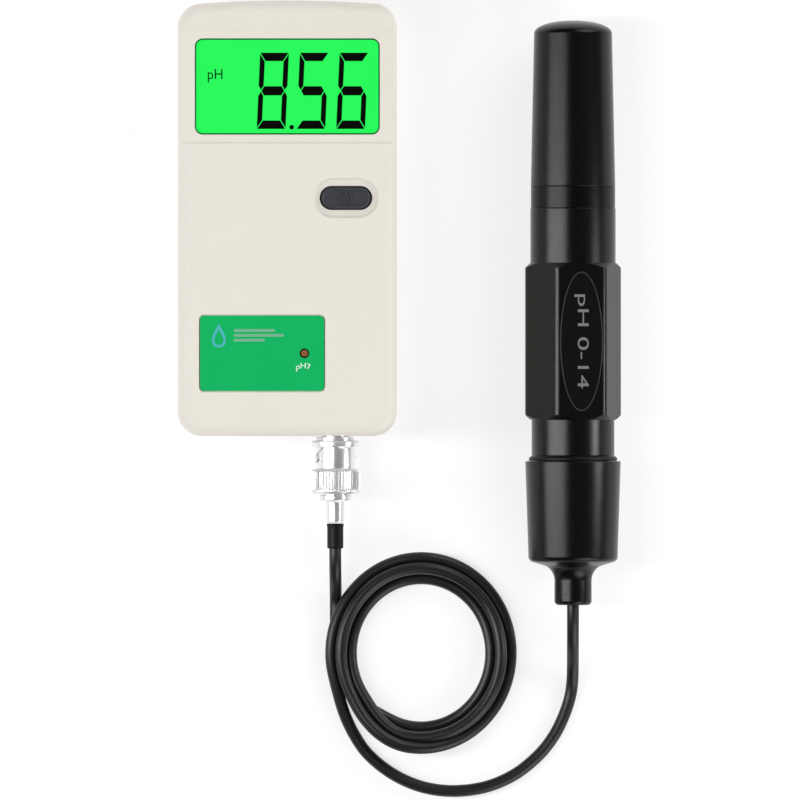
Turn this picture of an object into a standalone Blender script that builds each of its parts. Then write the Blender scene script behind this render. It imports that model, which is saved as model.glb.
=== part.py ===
"""A handheld pH meter with its combination electrode on a coaxial cable, laid flat on a table.

The meter lies on its back, with its display up (+Z) and its cable jack towards -Y. The origin is the
centre of the meter's back face. The electrode lies beside it, along +Y, with its cap on. All sizes are
in metres.
"""

import math

import bmesh
import bpy
from mathutils import Vector

# --- Clearances and steps -------------------------------------------------------------------------

GAP = 0.0003                    # between two pieces that touch
MERGE = 0.000001                # points of one piece that are the same point
OVERCUT = 0.001                 # how far a cutter runs past the face that it opens
CORNER_STEPS = 5                # flats round a corner of the case, or over the cap's dome
EDGE_STEPS = 3                  # flats round its front and back edges
COARSE = 12                     # sides of a small round piece
MEDIUM = 20
FINE = 28                       # sides of a large one
ARC_STEPS = 3                   # flats round a small rounding
END_STEPS = 6                   # flats round the end of a slot, or along the bowed top
BARREL_STEPS = 36               # sides of the cones on the hexagon's ends
COIL_STEPS = 32

# --- Case -----------------------------------------------------------------------------------------

CASE_WIDTH = 0.0635
CASE_LENGTH = 0.126
CASE_THICKNESS = 0.030
CASE_CORNER = 0.007
CROWN_RADIUS = 0.36             # the top end is slightly bowed
CASE_WALL = 0.0022
FRONT_EDGE = 0.003              # rounding of the front face's edge
BACK_EDGE = 0.0025
SPLIT_HEIGHT = 0.019            # where the two shells meet, above the back face

SCREW_INSET_X = 0.00675         # case screws, from the case's sides
SCREW_INSET_Y = 0.0064          # and from its ends
BOSS_RADIUS = 0.003
SCREW_SHANK = 0.0013
SCREW_HOLE = 0.0016
SCREW_HEAD = 0.0025
SCREW_HEAD_HEIGHT = 0.0019
SCREW_SINK = 0.0009             # how deep a screw's head lies under the back face
SCREW_GRIP = 0.005              # thread in the front shell
SCREW_CROSS = (1.4, 0.22)       # length and width of the cross, for a head radius of 1
SCREW_CROWN = 0.8               # flat part of a head, for a head radius of 1

# --- Display --------------------------------------------------------------------------------------

WINDOW_WIDTH = 0.0535
WINDOW_HEIGHT = 0.0278
WINDOW_TOP = 0.011              # from the case's top end
WINDOW_CORNER = 0.0023
WINDOW_SINK = 0.0003
WINDOW_FLANGE = 0.0012
FLANGE_THICKNESS = 0.001
BAND_DEPTH = 0.0006             # the recessed strip round the window
BAND_MARGIN = 0.0022            # from the window to the strip's edge
LCD_MARGIN = 0.0008
LCD_THICKNESS = 0.002
ZEBRA_WIDTH = 0.0022

# --- Button and switch ----------------------------------------------------------------------------

BUTTON_FROM_SIDE = 0.0148       # its centre, from the case's right side
BUTTON_BELOW_WINDOW = 0.01835   # and from the window's lower edge
BUTTON_HOLE = (0.0152, 0.0070)
DISH_MARGIN = (0.0021, 0.00255) # the dish past the hole, along X and along Y
DISH_DEPTH = 0.0013
BUTTON_CLEARANCE = 0.0003
BUTTON_FLANGE = 0.001           # how far the flange stands out under the shell
BUTTON_SINK = 0.0003            # its top, under the front face
BUTTON_TRAVEL = 0.0008
SWITCH_SIZE = 0.006
PLUNGER_RADIUS = 0.0017
PLUNGER_LENGTH = 0.0022

# --- Label and trimmer ----------------------------------------------------------------------------

LABEL_SIZE = (0.0359, 0.0218)
LABEL_FROM_SIDE = 0.0065        # its left edge, from the case's left side
LABEL_FROM_END = 0.013          # its lower edge, from the case's lower end
LABEL_CORNER = 0.0013
LABEL_THICKNESS = 0.0004
TRIMMER_FROM_EDGE = 0.0057      # its axis, from the label's right edge
TRIMMER_SIZE = 0.0066
TRIMMER_HOLE = 0.0014
TRIMMER_SCREW = 0.001
TRIMMER_SINK = 0.0006
TRIMMER_DEPTH = 0.0024          # how far the screw runs into the trimmer's body
SLOT_WIDTH = 0.0004
SLOT_DEPTH = 0.0005

# --- Board ----------------------------------------------------------------------------------------

BOARD_THICKNESS = 0.0016
BOARD_SIDE_MARGIN = 0.00475     # from the case's side
BOARD_END_MARGIN = 0.0098
POST_FROM_SIDE = 0.00875
POST_RADIUS = 0.0025
POST_BELOW_LCD = 0.0074         # the upper pair of posts
POST_SPACING = 0.036            # from the upper pair to the lower pair
BOARD_SCREW_SHANK = 0.0009
BOARD_SCREW_HOLE = 0.0012
BOARD_SCREW_HEAD = 0.0019
BOARD_SCREW_HEAD_HEIGHT = 0.0013
CHIP = (0.012, 0.012, 0.0016)
CHIP_FROM_TOP = 0.055
AMPLIFIER = (0.005, 0.004, 0.0015)
AMPLIFIER_FROM_TOP = 0.088
CAPACITOR_RADIUS = 0.0031
CAPACITOR_HEIGHT = 0.0048
CAPACITOR_FROM_TOP = 0.073
COMPONENTS_X = -0.014

# --- Battery and its door -------------------------------------------------------------------------

BATTERY = (0.0265, 0.0462, 0.0175)
BATTERY_CORNER = 0.002
BATTERY_CLEARANCE = 0.00035
TERMINAL_SPACING = 0.0127
TERMINAL_RADII = (0.0029, 0.0039)
TERMINAL_LENGTH = 0.0023
SNAP_SIZE = (0.0245, 0.004, 0.012)
SNAP_POCKET = 0.0026
BAY_WALL = 0.0016
BAY_END_ROOM = 0.0003
DOOR_RECESS = 0.0003            # the door's face lies this far above the table
DOOR_THICKNESS = 0.002
DOOR_OVERLAP = 0.002            # door past the battery bay, on each side
DOOR_TONGUE = 0.0012
DOOR_LIP = 0.0009               # shell left under the door's tongues
DOOR_PAD = 0.0019               # shell thickened over the door's rails
GRIP_GROOVES = 4
GRIP_PITCH = 0.0018
LEAD_NOTCH = (0.014, 0.008)     # width and height of the notch for the battery leads
LEAD_RADIUS = 0.0006
LEAD_SPACING = 0.008
LEAD_POINTS = 0.0016            # between the points of a lead's curve
LEAD_RISE = 0.002               # where the leads leave the snap, above its middle
LEAD_REACH = 0.008              # where they meet the board, out from the snap
LEAD_BENDS = [(0.0, 0.0), (0.0025, 0.0002), (0.0055, 0.0012), (0.0075, 0.0035)]  # out and up
SIGNAL_REACH = (0.004, 0.0085)  # where the jack's wire meets the board: aside and inwards
SIGNAL_BENDS = [
    (0.0, 0.0, 0.0),            # aside, inwards and up from the jack's contact
    (0.0, 0.002, 0.0),
    (0.001, 0.005, 0.0015),
    (0.003, 0.0075, 0.005),
]

# --- Bayonet connector, measured outwards from the case's lower end -------------------------------

CONNECTOR_FROM_SIDE = 0.01792
CONNECTOR_HEIGHT = 0.0095
JACK_RADIUS = 0.0048
JACK_WALL = 0.0007
JACK_LENGTH = 0.010
JACK_STUB = 0.0039
JACK_STUB_LENGTH = 0.0062
JACK_CONTACT_SINK = 0.002       # from the jack's mouth to its insulator
INSULATOR_RADIUS = 0.0025
CONTACT_RADIUS = 0.0011
PIN_RADIUS = 0.00045
LUG_RADIUS = 0.001
LUG_STANDS = 0.00065            # how far a lug stands out from the jack
LUG_AT = 0.0066
LUG_ANGLES = (math.radians(-20.0), math.radians(160.0))
WASHER_RADIUS = 0.0060
WASHER_THICKNESS = 0.0008
JACK_NUT_FLATS = 0.011
JACK_NUT_THICKNESS = 0.0025

NUT_START = 0.0014
NUT_WALL = 0.00055
RIM_STANDS = 0.00115            # how far the rim stands out from the barrel
RIM_LENGTH = 0.0019
BARREL_LENGTH = 0.0063
KNURL_STANDS = 0.0016
KNURL_LENGTH = 0.0073
KNURL_CHAMFER = 0.0004
NUT_LIP_DEPTH = 0.0004          # how far the lip overlaps the plug's shoulder
NUT_LIP_LENGTH = 0.0017
SLOT_CLEARANCE = 0.0003         # round a lug
SLOT_TURN = math.radians(90.0)
SLOT_STEPS = 10

PLUG_SLEEVE_START = 0.0035
PLUG_SHOULDER_LENGTH = 0.0018
PLUG_BACK_WALL = 0.0021         # behind the plug's insulator
PLUG_RING = 0.0046
PLUG_RING_LENGTH = 0.0016
PIN_START = 0.0050
WAVE_WASHER_THICKNESS = 0.0006
FERRULE_RADIUS = 0.0026
FERRULE_LENGTH = 0.006
BOOT_RADIUS = 0.00225
BOOT_LENGTH = 0.0076

# --- Electrode, measured from the strain relief's end towards the tip -----------------------------

ELECTRODE_X = 0.08275
ELECTRODE_END_Y = -0.11205
SLEEVE_MOUTH_RADIUS = 0.01385
SLEEVE_END_RADIUS = 0.013
SLEEVE_ROUNDING = 0.0018
SLEEVE_WALL = 0.0022
SLEEVE_LENGTH = 0.0304
RELIEF_LENGTH = 0.01105
RELIEF_RADIUS = 0.0054
RELIEF_FLARE = 0.0081
RELIEF_FLANGE = 0.0085
RELIEF_ROUNDING = 0.0012
O_RING_RADIUS = 0.0128
O_RING_LENGTH = 0.0010
NECK_RADIUS = 0.012
NECK_LENGTH = 0.0104
SPIGOT_LENGTH = 0.011
HEX_FLATS = 0.025
HEX_LENGTH = 0.0455
HEX_TILT = math.radians(11.0)
HEX_CHAMFER = math.radians(30.0)
HEX_CORE = 0.9                  # radius of the round core, for a half hexagon of 1
COLLAR_RADIUS = 0.01245
COLLAR_LENGTH = 0.0158
PANEL_HALF = (0.00635, 0.0202)
PANEL_RECESS = 0.0006
PANEL_PROUD = 0.0001
SEAL_RADIUS = 0.01195
SEAL_LENGTH = 0.00575
SEAL_CLEARANCE = 0.0004         # between the band's spigot and the cap
SEAL_SPIGOT_LENGTH = 0.005
CAP_MOUTH_RADIUS = 0.01225
CAP_TOP_RADIUS = 0.0113
CAP_LENGTH = 0.04805
CAP_DOME = 0.0037
CAP_BORE = 0.0096
CAP_END_WALL = 0.0055
SPONGE_THICKNESS = 0.003
STEM_RADIUS = 0.006
STEM_WALL = 0.0012
STEM_LENGTH = 0.0635
STEM_IN_BODY = 0.020
GUARD_SLOT = (0.003, 0.008)     # width and length of the slots that make the guard's prongs
TUBE_RADIUS = 0.0032
TUBE_WALL = 0.0008
BULB_CLEARANCE = 0.0006         # between the bulb and the stem
BULB_FROM_TIP = 0.006           # the bulb's centre, from the guard's end
JUNCTION_RADIUS = 0.0008
JUNCTION_FROM_TIP = 0.018
WIRE_RADIUS = 0.0005
STOPPER_THICKNESS = 0.003
BODY_CHAMBER = 0.0078
BODY_WEB = 0.012                # solid part of the body between its two bores

# --- Cable ----------------------------------------------------------------------------------------

CORD_RADIUS = 0.00175
COIL_CENTRE = (0.0387, -0.126)
COIL_OUTER = (0.0278, 0.0293)
COIL_BAND = 0.0093              # three strands side by side
COIL_HEIGHT = 0.0054
COIL_CHAMFER = 0.0013
CORD_SPACING = 0.005            # between the tube's points

LEAD_ROUTE = [
    (0.01383, -0.0959, 0.0095),
    (0.01383, -0.0978, 0.0095),
    (0.01384, -0.1005, 0.00907),
    (0.01387, -0.1035, 0.00766),
    (0.01390, -0.10575, 0.00562),
    (0.01393, -0.1080, 0.00359),
    (0.01395, -0.1092, 0.00288),
]
TAIL_ROUTE = [
    (0.0196, -0.1502, CORD_RADIUS),
    (0.0237, -0.1558, CORD_RADIUS),
    (0.0307, -0.1613, CORD_RADIUS),
    (0.0390, -0.1649, CORD_RADIUS),
    (0.0480, -0.1661, CORD_RADIUS),
    (0.0575, -0.1649, CORD_RADIUS),
    (0.0659, -0.1613, CORD_RADIUS),
    (0.0728, -0.15575, CORD_RADIUS),
    (0.0772, -0.1502, CORD_RADIUS),
    (0.0800, -0.1447, CORD_RADIUS),
    (0.0819, -0.1391, CORD_RADIUS),
    (0.0826, -0.1345, 0.00248),
    (0.08275, -0.1295, 0.00489),
    (0.08275, -0.12625, 0.0078),
    (0.08275, -0.1230, 0.01071),
    (0.08275, -0.1180, 0.01312),
    (0.08275, -0.1145, 0.01380),
    (0.08275, -0.11235, 0.01385),
]

# --- Places worked out from the sizes -------------------------------------------------------------

HALF_WIDTH = CASE_WIDTH / 2
HALF_LENGTH = CASE_LENGTH / 2
FACE = CASE_THICKNESS
INNER_FACE = FACE - CASE_WALL
BACK_TOP = SPLIT_HEIGHT - GAP / 2
FRONT_BOTTOM = SPLIT_HEIGHT + GAP / 2
WINDOW_Y = HALF_LENGTH - WINDOW_TOP - WINDOW_HEIGHT / 2
BAND_FACE = FACE - BAND_DEPTH
FLANGE_TOP = INNER_FACE - GAP
LCD_TOP = FLANGE_TOP - FLANGE_THICKNESS - GAP
LCD_SIZE = (WINDOW_WIDTH + 2 * LCD_MARGIN, WINDOW_HEIGHT + 2 * LCD_MARGIN)

BATTERY_BOTTOM = DOOR_RECESS + DOOR_THICKNESS + GAP
BAY_HALF = BATTERY[0] / 2 + BATTERY_CLEARANCE
BAY_TOP_Y = HALF_LENGTH - CASE_WALL - BAY_WALL
BATTERY_TOP_Y = BAY_TOP_Y - BAY_END_ROOM
BATTERY_LOW_Y = BATTERY_TOP_Y - BATTERY[1]
SNAP_TOP_Y = BATTERY_LOW_Y - GAP
SNAP_LOW_Y = SNAP_TOP_Y - SNAP_SIZE[1]
BAY_LOW_Y = SNAP_LOW_Y - GAP
BATTERY_MIDDLE_Z = BATTERY_BOTTOM + BATTERY[2] / 2

BOARD_BOTTOM = BATTERY_BOTTOM + BATTERY[2] + GAP
BOARD_TOP = BOARD_BOTTOM + BOARD_THICKNESS
ON_BOARD = BOARD_TOP + GAP
UNDER_BOARD = BOARD_BOTTOM - GAP
BOARD_HALF_X = HALF_WIDTH - BOARD_SIDE_MARGIN
BOARD_HALF_Y = HALF_LENGTH - BOARD_END_MARGIN
UPPER_POST_Y = WINDOW_Y - LCD_SIZE[1] / 2 - POST_BELOW_LCD
POST_PLACES = [
    (side * (HALF_WIDTH - POST_FROM_SIDE), y)
    for y in (UPPER_POST_Y, UPPER_POST_Y - POST_SPACING)
    for side in (-1, 1)
]
SCREW_PLACES = [
    (side * (HALF_WIDTH - SCREW_INSET_X), end * (HALF_LENGTH - SCREW_INSET_Y))
    for end in (-1, 1)
    for side in (-1, 1)
]

BUTTON_PLACE = (
    HALF_WIDTH - BUTTON_FROM_SIDE,
    WINDOW_Y - WINDOW_HEIGHT / 2 - BUTTON_BELOW_WINDOW,
)
DISH = (BUTTON_HOLE[0] + 2 * DISH_MARGIN[0], BUTTON_HOLE[1] + 2 * DISH_MARGIN[1])
BUTTON_TOP = FACE - BUTTON_SINK
BUTTON_BOTTOM = INNER_FACE - GAP - BUTTON_FLANGE
PLUNGER_TOP = BUTTON_BOTTOM - GAP
SWITCH_TOP = PLUNGER_TOP - BUTTON_TRAVEL

LABEL_PLACE = (
    LABEL_FROM_SIDE + LABEL_SIZE[0] / 2 - HALF_WIDTH,
    LABEL_FROM_END + LABEL_SIZE[1] / 2 - HALF_LENGTH,
)
TRIMMER_PLACE = (LABEL_PLACE[0] + LABEL_SIZE[0] / 2 - TRIMMER_FROM_EDGE, LABEL_PLACE[1])
TRIMMER_TOP = INNER_FACE - 2 * GAP
TRIMMER_SCREW_TOP = FACE - TRIMMER_SINK
TRIMMER_SCREW_BOTTOM = TRIMMER_TOP - TRIMMER_DEPTH

CONNECTOR_X = HALF_WIDTH - CONNECTOR_FROM_SIDE
JACK_BORE = JACK_RADIUS - JACK_WALL
JACK_HOLE = JACK_STUB + GAP
LUG_REACH = JACK_RADIUS + LUG_STANDS
NUT_BORE = JACK_RADIUS + GAP
BARREL_RADIUS = NUT_BORE + NUT_WALL
RIM_RADIUS = BARREL_RADIUS + RIM_STANDS
KNURL_RADIUS = BARREL_RADIUS + KNURL_STANDS
PLUG_SLEEVE = JACK_BORE - GAP
PLUG_SHOULDER = NUT_BORE - GAP
NUT_LIP = PLUG_SHOULDER - NUT_LIP_DEPTH
PLUG_NECK = NUT_LIP - GAP
JACK_END = GAP + JACK_LENGTH
NUT_BARREL_START = NUT_START + RIM_LENGTH
KNURL_START = NUT_BARREL_START + BARREL_LENGTH
NUT_END = KNURL_START + KNURL_LENGTH
LIP_FACE = NUT_END - NUT_LIP_LENGTH
SHOULDER_END = LIP_FACE - WAVE_WASHER_THICKNESS - 2 * GAP
SHOULDER_START = SHOULDER_END - PLUG_SHOULDER_LENGTH
PLUG_RING_START = NUT_END + GAP
PLUG_END = PLUG_RING_START + PLUG_RING_LENGTH
FERRULE_START = PLUG_END + GAP
BOOT_START = FERRULE_START + FERRULE_LENGTH + GAP
CONTACT_END = JACK_END - JACK_CONTACT_SINK
SLOT_LEAD = SLOT_TURN / (LUG_AT - NUT_START)

SPIGOT_RADIUS = SLEEVE_END_RADIUS - SLEEVE_WALL - GAP
SEAL_SPIGOT = CAP_BORE - SEAL_CLEARANCE
STEM_BORE = STEM_RADIUS - STEM_WALL
TUBE_BORE = TUBE_RADIUS - TUBE_WALL
BULB_RADIUS = STEM_BORE - BULB_CLEARANCE
SLEEVE_START = RELIEF_LENGTH + GAP
SLEEVE_MOUTH = SLEEVE_START + SLEEVE_LENGTH
O_RING_START = SLEEVE_MOUTH + GAP
NECK_START = O_RING_START + O_RING_LENGTH + GAP
HEX_START = NECK_START + NECK_LENGTH
COLLAR_START = HEX_START + HEX_LENGTH
BODY_END = COLLAR_START + COLLAR_LENGTH
SEAL_START = BODY_END + GAP
SEAL_END = SEAL_START + SEAL_LENGTH
CAP_START = SEAL_END + GAP
CAP_END = CAP_START + CAP_LENGTH
STEM_START = BODY_END - STEM_IN_BODY
STEM_END = STEM_START + STEM_LENGTH
BULB_AT = STEM_END - BULB_FROM_TIP
SPIGOT_START = NECK_START - SPIGOT_LENGTH
CHAMBER_END = STEM_START - BODY_WEB
PANEL_AT = (HEX_START + COLLAR_START) / 2
HEX_HALF = HEX_FLATS / 2
HEX_CORNER = HEX_HALF / math.cos(math.pi / 6)
HEX_DROP = HEX_CORNER * math.cos(math.pi / 6 - HEX_TILT)
ELECTRODE_Z = max(SLEEVE_MOUTH_RADIUS, HEX_DROP)

# --- Finishes: sRGB colour, roughness, metallic ---------------------------------------------------

FINISHES = {
    "ivory_plastic": ((231, 226, 216), 0.45, 0.0),
    "window_plastic": ((150, 240, 170), 0.05, 0.0),
    "lcd_green": ((38, 247, 91), 0.20, 0.0),
    "light_block": ((214, 240, 220), 0.35, 0.0),
    "zebra_rubber": ((200, 120, 150), 0.60, 0.0),
    "board_green": ((24, 92, 52), 0.40, 0.0),
    "chip_black": ((30, 30, 32), 0.50, 0.0),
    "capacitor_sleeve": ((40, 52, 88), 0.35, 0.0),
    "slate_rubber": ((61, 62, 70), 0.55, 0.0),
    "switch_black": ((28, 28, 30), 0.45, 0.0),
    "trimmer_blue": ((44, 92, 168), 0.40, 0.0),
    "copper": ((184, 115, 70), 0.30, 1.0),
    "label_green": ((14, 180, 97), 0.40, 0.0),
    "nickel": ((196, 196, 194), 0.22, 1.0),
    "white_insulator": ((236, 236, 230), 0.40, 0.0),
    "gold_contact": ((212, 175, 95), 0.25, 1.0),
    "battery_jacket": ((52, 54, 60), 0.35, 0.3),
    "snap_black": ((34, 34, 36), 0.50, 0.0),
    "lead_red": ((176, 30, 30), 0.45, 0.0),
    "lead_black": ((24, 24, 26), 0.45, 0.0),
    "screw_steel": ((150, 152, 156), 0.35, 1.0),
    "black_cable": ((22, 22, 24), 0.50, 0.0),
    "black_plastic": ((34, 34, 36), 0.48, 0.0),
    "black_gloss": ((10, 10, 12), 0.12, 0.0),
    "black_rubber": ((20, 20, 21), 0.65, 0.0),
    "panel_grey": ((70, 70, 74), 0.40, 0.0),
    "clear_glass": ((210, 230, 232), 0.04, 0.0),
    "white_ceramic": ((238, 234, 224), 0.60, 0.0),
    "silver": ((210, 210, 208), 0.28, 1.0),
    "sponge_foam": ((225, 215, 150), 0.90, 0.0),
}


def clear_scene():
    for leftover in list(bpy.data.objects):
        bpy.data.objects.remove(leftover)


def linear(channel):
    """One sRGB channel, 0 to 255, as the linear value that shaders use."""
    value = channel / 255
    if value <= 0.04045:
        return value / 12.92
    return ((value + 0.055) / 1.055) ** 2.4


def finish_material(name):
    """The Principled material of one finish, made the first time that it is asked for."""
    found = bpy.data.materials.get(name)
    if found:
        return found
    colour, roughness, metallic = FINISHES[name]
    made = bpy.data.materials.new(name)
    made.use_nodes = True
    shader = made.node_tree.nodes["Principled BSDF"]
    shader.inputs["Base Color"].default_value = (*map(linear, colour), 1.0)
    shader.inputs["Roughness"].default_value = roughness
    shader.inputs["Metallic"].default_value = metallic
    return made


def new_object(name, data, parent=None, place=(0.0, 0.0, 0.0)):
    made = bpy.data.objects.new(name, data)
    bpy.context.scene.collection.objects.link(made)
    made.parent = parent
    made.location = place
    return made


def axis_frame(name, place, turn_x):
    """An empty whose +Z is the axis that its children are turned round."""
    frame = new_object(name, None, None, place)
    frame.rotation_euler = (turn_x, 0.0, 0.0)
    return frame


def piece(name, shape, finish, parent=None, place=(0.0, 0.0, 0.0), sharp=30.0):
    """A node: the bmesh becomes its mesh, with its finish and smooth shading up to the sharp angle."""
    mesh = bpy.data.meshes.new(name)
    bmesh.ops.recalc_face_normals(shape, faces=shape.faces)
    shape.to_mesh(mesh)
    shape.free()
    mesh.materials.append(finish_material(finish))
    mesh.shade_smooth()
    mesh.set_sharp_from_angle(angle=math.radians(sharp))
    return new_object(name, mesh, parent, place)


def helper(name, shape, parent=None, place=(0.0, 0.0, 0.0)):
    """A solid that only cuts, joins or bounds another."""
    mesh = bpy.data.meshes.new(name)
    bmesh.ops.recalc_face_normals(shape, faces=shape.faces)
    shape.to_mesh(mesh)
    shape.free()
    made = new_object(name, mesh, parent, place)
    made.hide_render = True
    made.display_type = "WIRE"
    return made


def combine(target, other, operation):
    modifier = target.modifiers.new(other.name, "BOOLEAN")
    modifier.operation = operation
    modifier.solver = "EXACT"
    modifier.object = other


# --- Outlines, as lists of (x, y) points running counter-clockwise --------------------------------


def arc(centre, radius, start, end, steps):
    return [
        (
            centre[0] + radius * math.cos(start + (end - start) * step / steps),
            centre[1] + radius * math.sin(start + (end - start) * step / steps),
        )
        for step in range(steps + 1)
    ]


def rounded_rectangle(size, corner, centre=(0.0, 0.0), steps=ARC_STEPS):
    points = []
    for quarter, (side_x, side_y) in enumerate([(1, 1), (-1, 1), (-1, -1), (1, -1)]):
        middle = (
            centre[0] + side_x * (size[0] / 2 - corner),
            centre[1] + side_y * (size[1] / 2 - corner),
        )
        start = quarter * math.pi / 2
        points += arc(middle, corner, start, start + math.pi / 2, steps)
    return points


def stadium(size, centre=(0.0, 0.0), steps=END_STEPS):
    """A straight-sided slot with round ends, longer along X."""
    radius = size[1] / 2
    reach = size[0] / 2 - radius
    quarter = math.pi / 2
    right = arc((centre[0] + reach, centre[1]), radius, -quarter, quarter, steps)
    left = arc((centre[0] - reach, centre[1]), radius, quarter, 3 * quarter, steps)
    return right + left


def ellipse(half, steps=FINE):
    return [
        (
            half[0] * math.cos(math.tau * step / steps),
            half[1] * math.sin(math.tau * step / steps),
        )
        for step in range(steps)
    ]


def polygon(corner, sides, turn=0.0):
    return [
        (
            corner * math.cos(turn + math.tau * step / sides),
            corner * math.sin(turn + math.tau * step / sides),
        )
        for step in range(sides)
    ]


def case_outline(inset):
    """The case seen from the front: straight sides, round corners and a bowed top, all moved in by inset."""
    corner_x = HALF_WIDTH - CASE_CORNER
    low_y = CASE_CORNER - HALF_LENGTH
    bow_y = HALF_LENGTH - CROWN_RADIUS
    high_y = bow_y + math.sqrt((CROWN_RADIUS - CASE_CORNER) ** 2 - corner_x**2)
    tangent = math.atan2(high_y - bow_y, corner_x)
    radius = CASE_CORNER - inset
    points = arc((corner_x, low_y), radius, -math.pi / 2, 0.0, CORNER_STEPS)
    points += arc((corner_x, high_y), radius, 0.0, tangent, CORNER_STEPS)
    points += arc((0.0, bow_y), CROWN_RADIUS - inset, tangent, math.pi - tangent, END_STEPS)[1:-1]
    points += arc((-corner_x, high_y), radius, math.pi - tangent, math.pi, CORNER_STEPS)
    points += arc((-corner_x, low_y), radius, math.pi, 1.5 * math.pi, CORNER_STEPS)
    return points


# --- Solids ---------------------------------------------------------------------------------------


def box(low, high):
    """A block between two opposite corners."""
    shape = bmesh.new()
    bmesh.ops.create_cube(shape, size=1.0)
    size = Vector(high) - Vector(low)
    bmesh.ops.scale(shape, vec=size, verts=shape.verts)
    bmesh.ops.translate(shape, vec=(Vector(high) + Vector(low)) / 2, verts=shape.verts)
    return shape


def loft(rings):
    """A closed solid through rings of (outline, height) with the same number of points each."""
    shape = bmesh.new()
    loops = [
        [shape.verts.new((x, y, height)) for x, y in outline] for outline, height in rings
    ]
    count = len(loops[0])
    for low, high in zip(loops, loops[1:]):
        for here in range(count):
            there = (here + 1) % count
            shape.faces.new((low[here], low[there], high[there], high[here]))
    shape.faces.new(list(reversed(loops[0])))
    shape.faces.new(loops[-1])
    return shape


def slab(outline, low, high):
    return loft([(outline, low), (outline, high)])


def cylinder(radius, low, high, steps=MEDIUM, centre=(0.0, 0.0)):
    return slab(arc(centre, radius, 0.0, math.tau, steps)[:-1], low, high)


def turned(profile, steps=FINE):
    """(radius, height) points turned once round Z. A profile that keeps off the axis gives a ring."""
    shape = bmesh.new()
    points = [shape.verts.new((radius, 0.0, height)) for radius, height in profile]
    pairs = list(zip(points, points[1:]))
    if profile[0][0] > 0.0:
        pairs.append((points[-1], points[0]))
    edges = [shape.edges.new(pair) for pair in pairs]
    bmesh.ops.spin(
        shape,
        geom=points + edges,
        cent=(0.0, 0.0, 0.0),
        axis=(0.0, 0.0, 1.0),
        angle=math.tau,
        steps=steps,
    )
    bmesh.ops.remove_doubles(shape, verts=shape.verts, dist=MERGE)
    return shape


def ring(outer, bore, low, high, steps=MEDIUM):
    return turned([(bore, low), (outer, low), (outer, high), (bore, high)], steps)


def smooth_route(points, spacing):
    """Points about a spacing apart on the Catmull-Rom curve through the given ones."""
    knots = [Vector(point) for point in points]
    knots = [2 * knots[0] - knots[1]] + knots + [2 * knots[-1] - knots[-2]]
    route = []
    for a, b, c, d in zip(knots, knots[1:], knots[2:], knots[3:]):
        steps = max(1, round((c - b).length / spacing))
        for step in range(steps):
            t = step / steps
            route.append(
                0.5
                * (
                    2 * b
                    + (c - a) * t
                    + (2 * a - 5 * b + 4 * c - d) * t**2
                    + (3 * b - a - 3 * c + d) * t**3
                )
            )
    return route + [knots[-2]]


def tube(name, points, radius, finish, spacing):
    """A round wire or cable along a route, with filled ends."""
    route = smooth_route(points, spacing)
    curve = bpy.data.curves.new(name, "CURVE")
    curve.dimensions = "3D"
    curve.bevel_depth = radius
    curve.bevel_resolution = 2
    curve.use_fill_caps = True
    spline = curve.splines.new("POLY")
    spline.points.add(len(route) - 1)
    for place, point in zip(route, spline.points):
        point.co = (*place, 1.0)
    curve.materials.append(finish_material(finish))
    return new_object(name, curve)


# --- Case -----------------------------------------------------------------------------------------


def case_shell_rings(inset, low, high, low_edge, high_edge):
    """Rings up the case's side, rounded by low_edge at the bottom and by high_edge at the top."""
    rings = []
    if low_edge:
        for step in range(EDGE_STEPS):
            angle = math.pi / 2 * step / EDGE_STEPS
            shift = inset + low_edge * (1 - math.sin(angle))
            rings.append((case_outline(shift), low + low_edge * (1 - math.cos(angle))))
    rings.append((case_outline(inset), low + low_edge))
    rings.append((case_outline(inset), high - high_edge))
    if high_edge:
        for step in range(1, EDGE_STEPS + 1):
            angle = math.pi / 2 * step / EDGE_STEPS
            shift = inset + high_edge * (1 - math.cos(angle))
            rings.append((case_outline(shift), high - high_edge * (1 - math.sin(angle))))
    return rings


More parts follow.
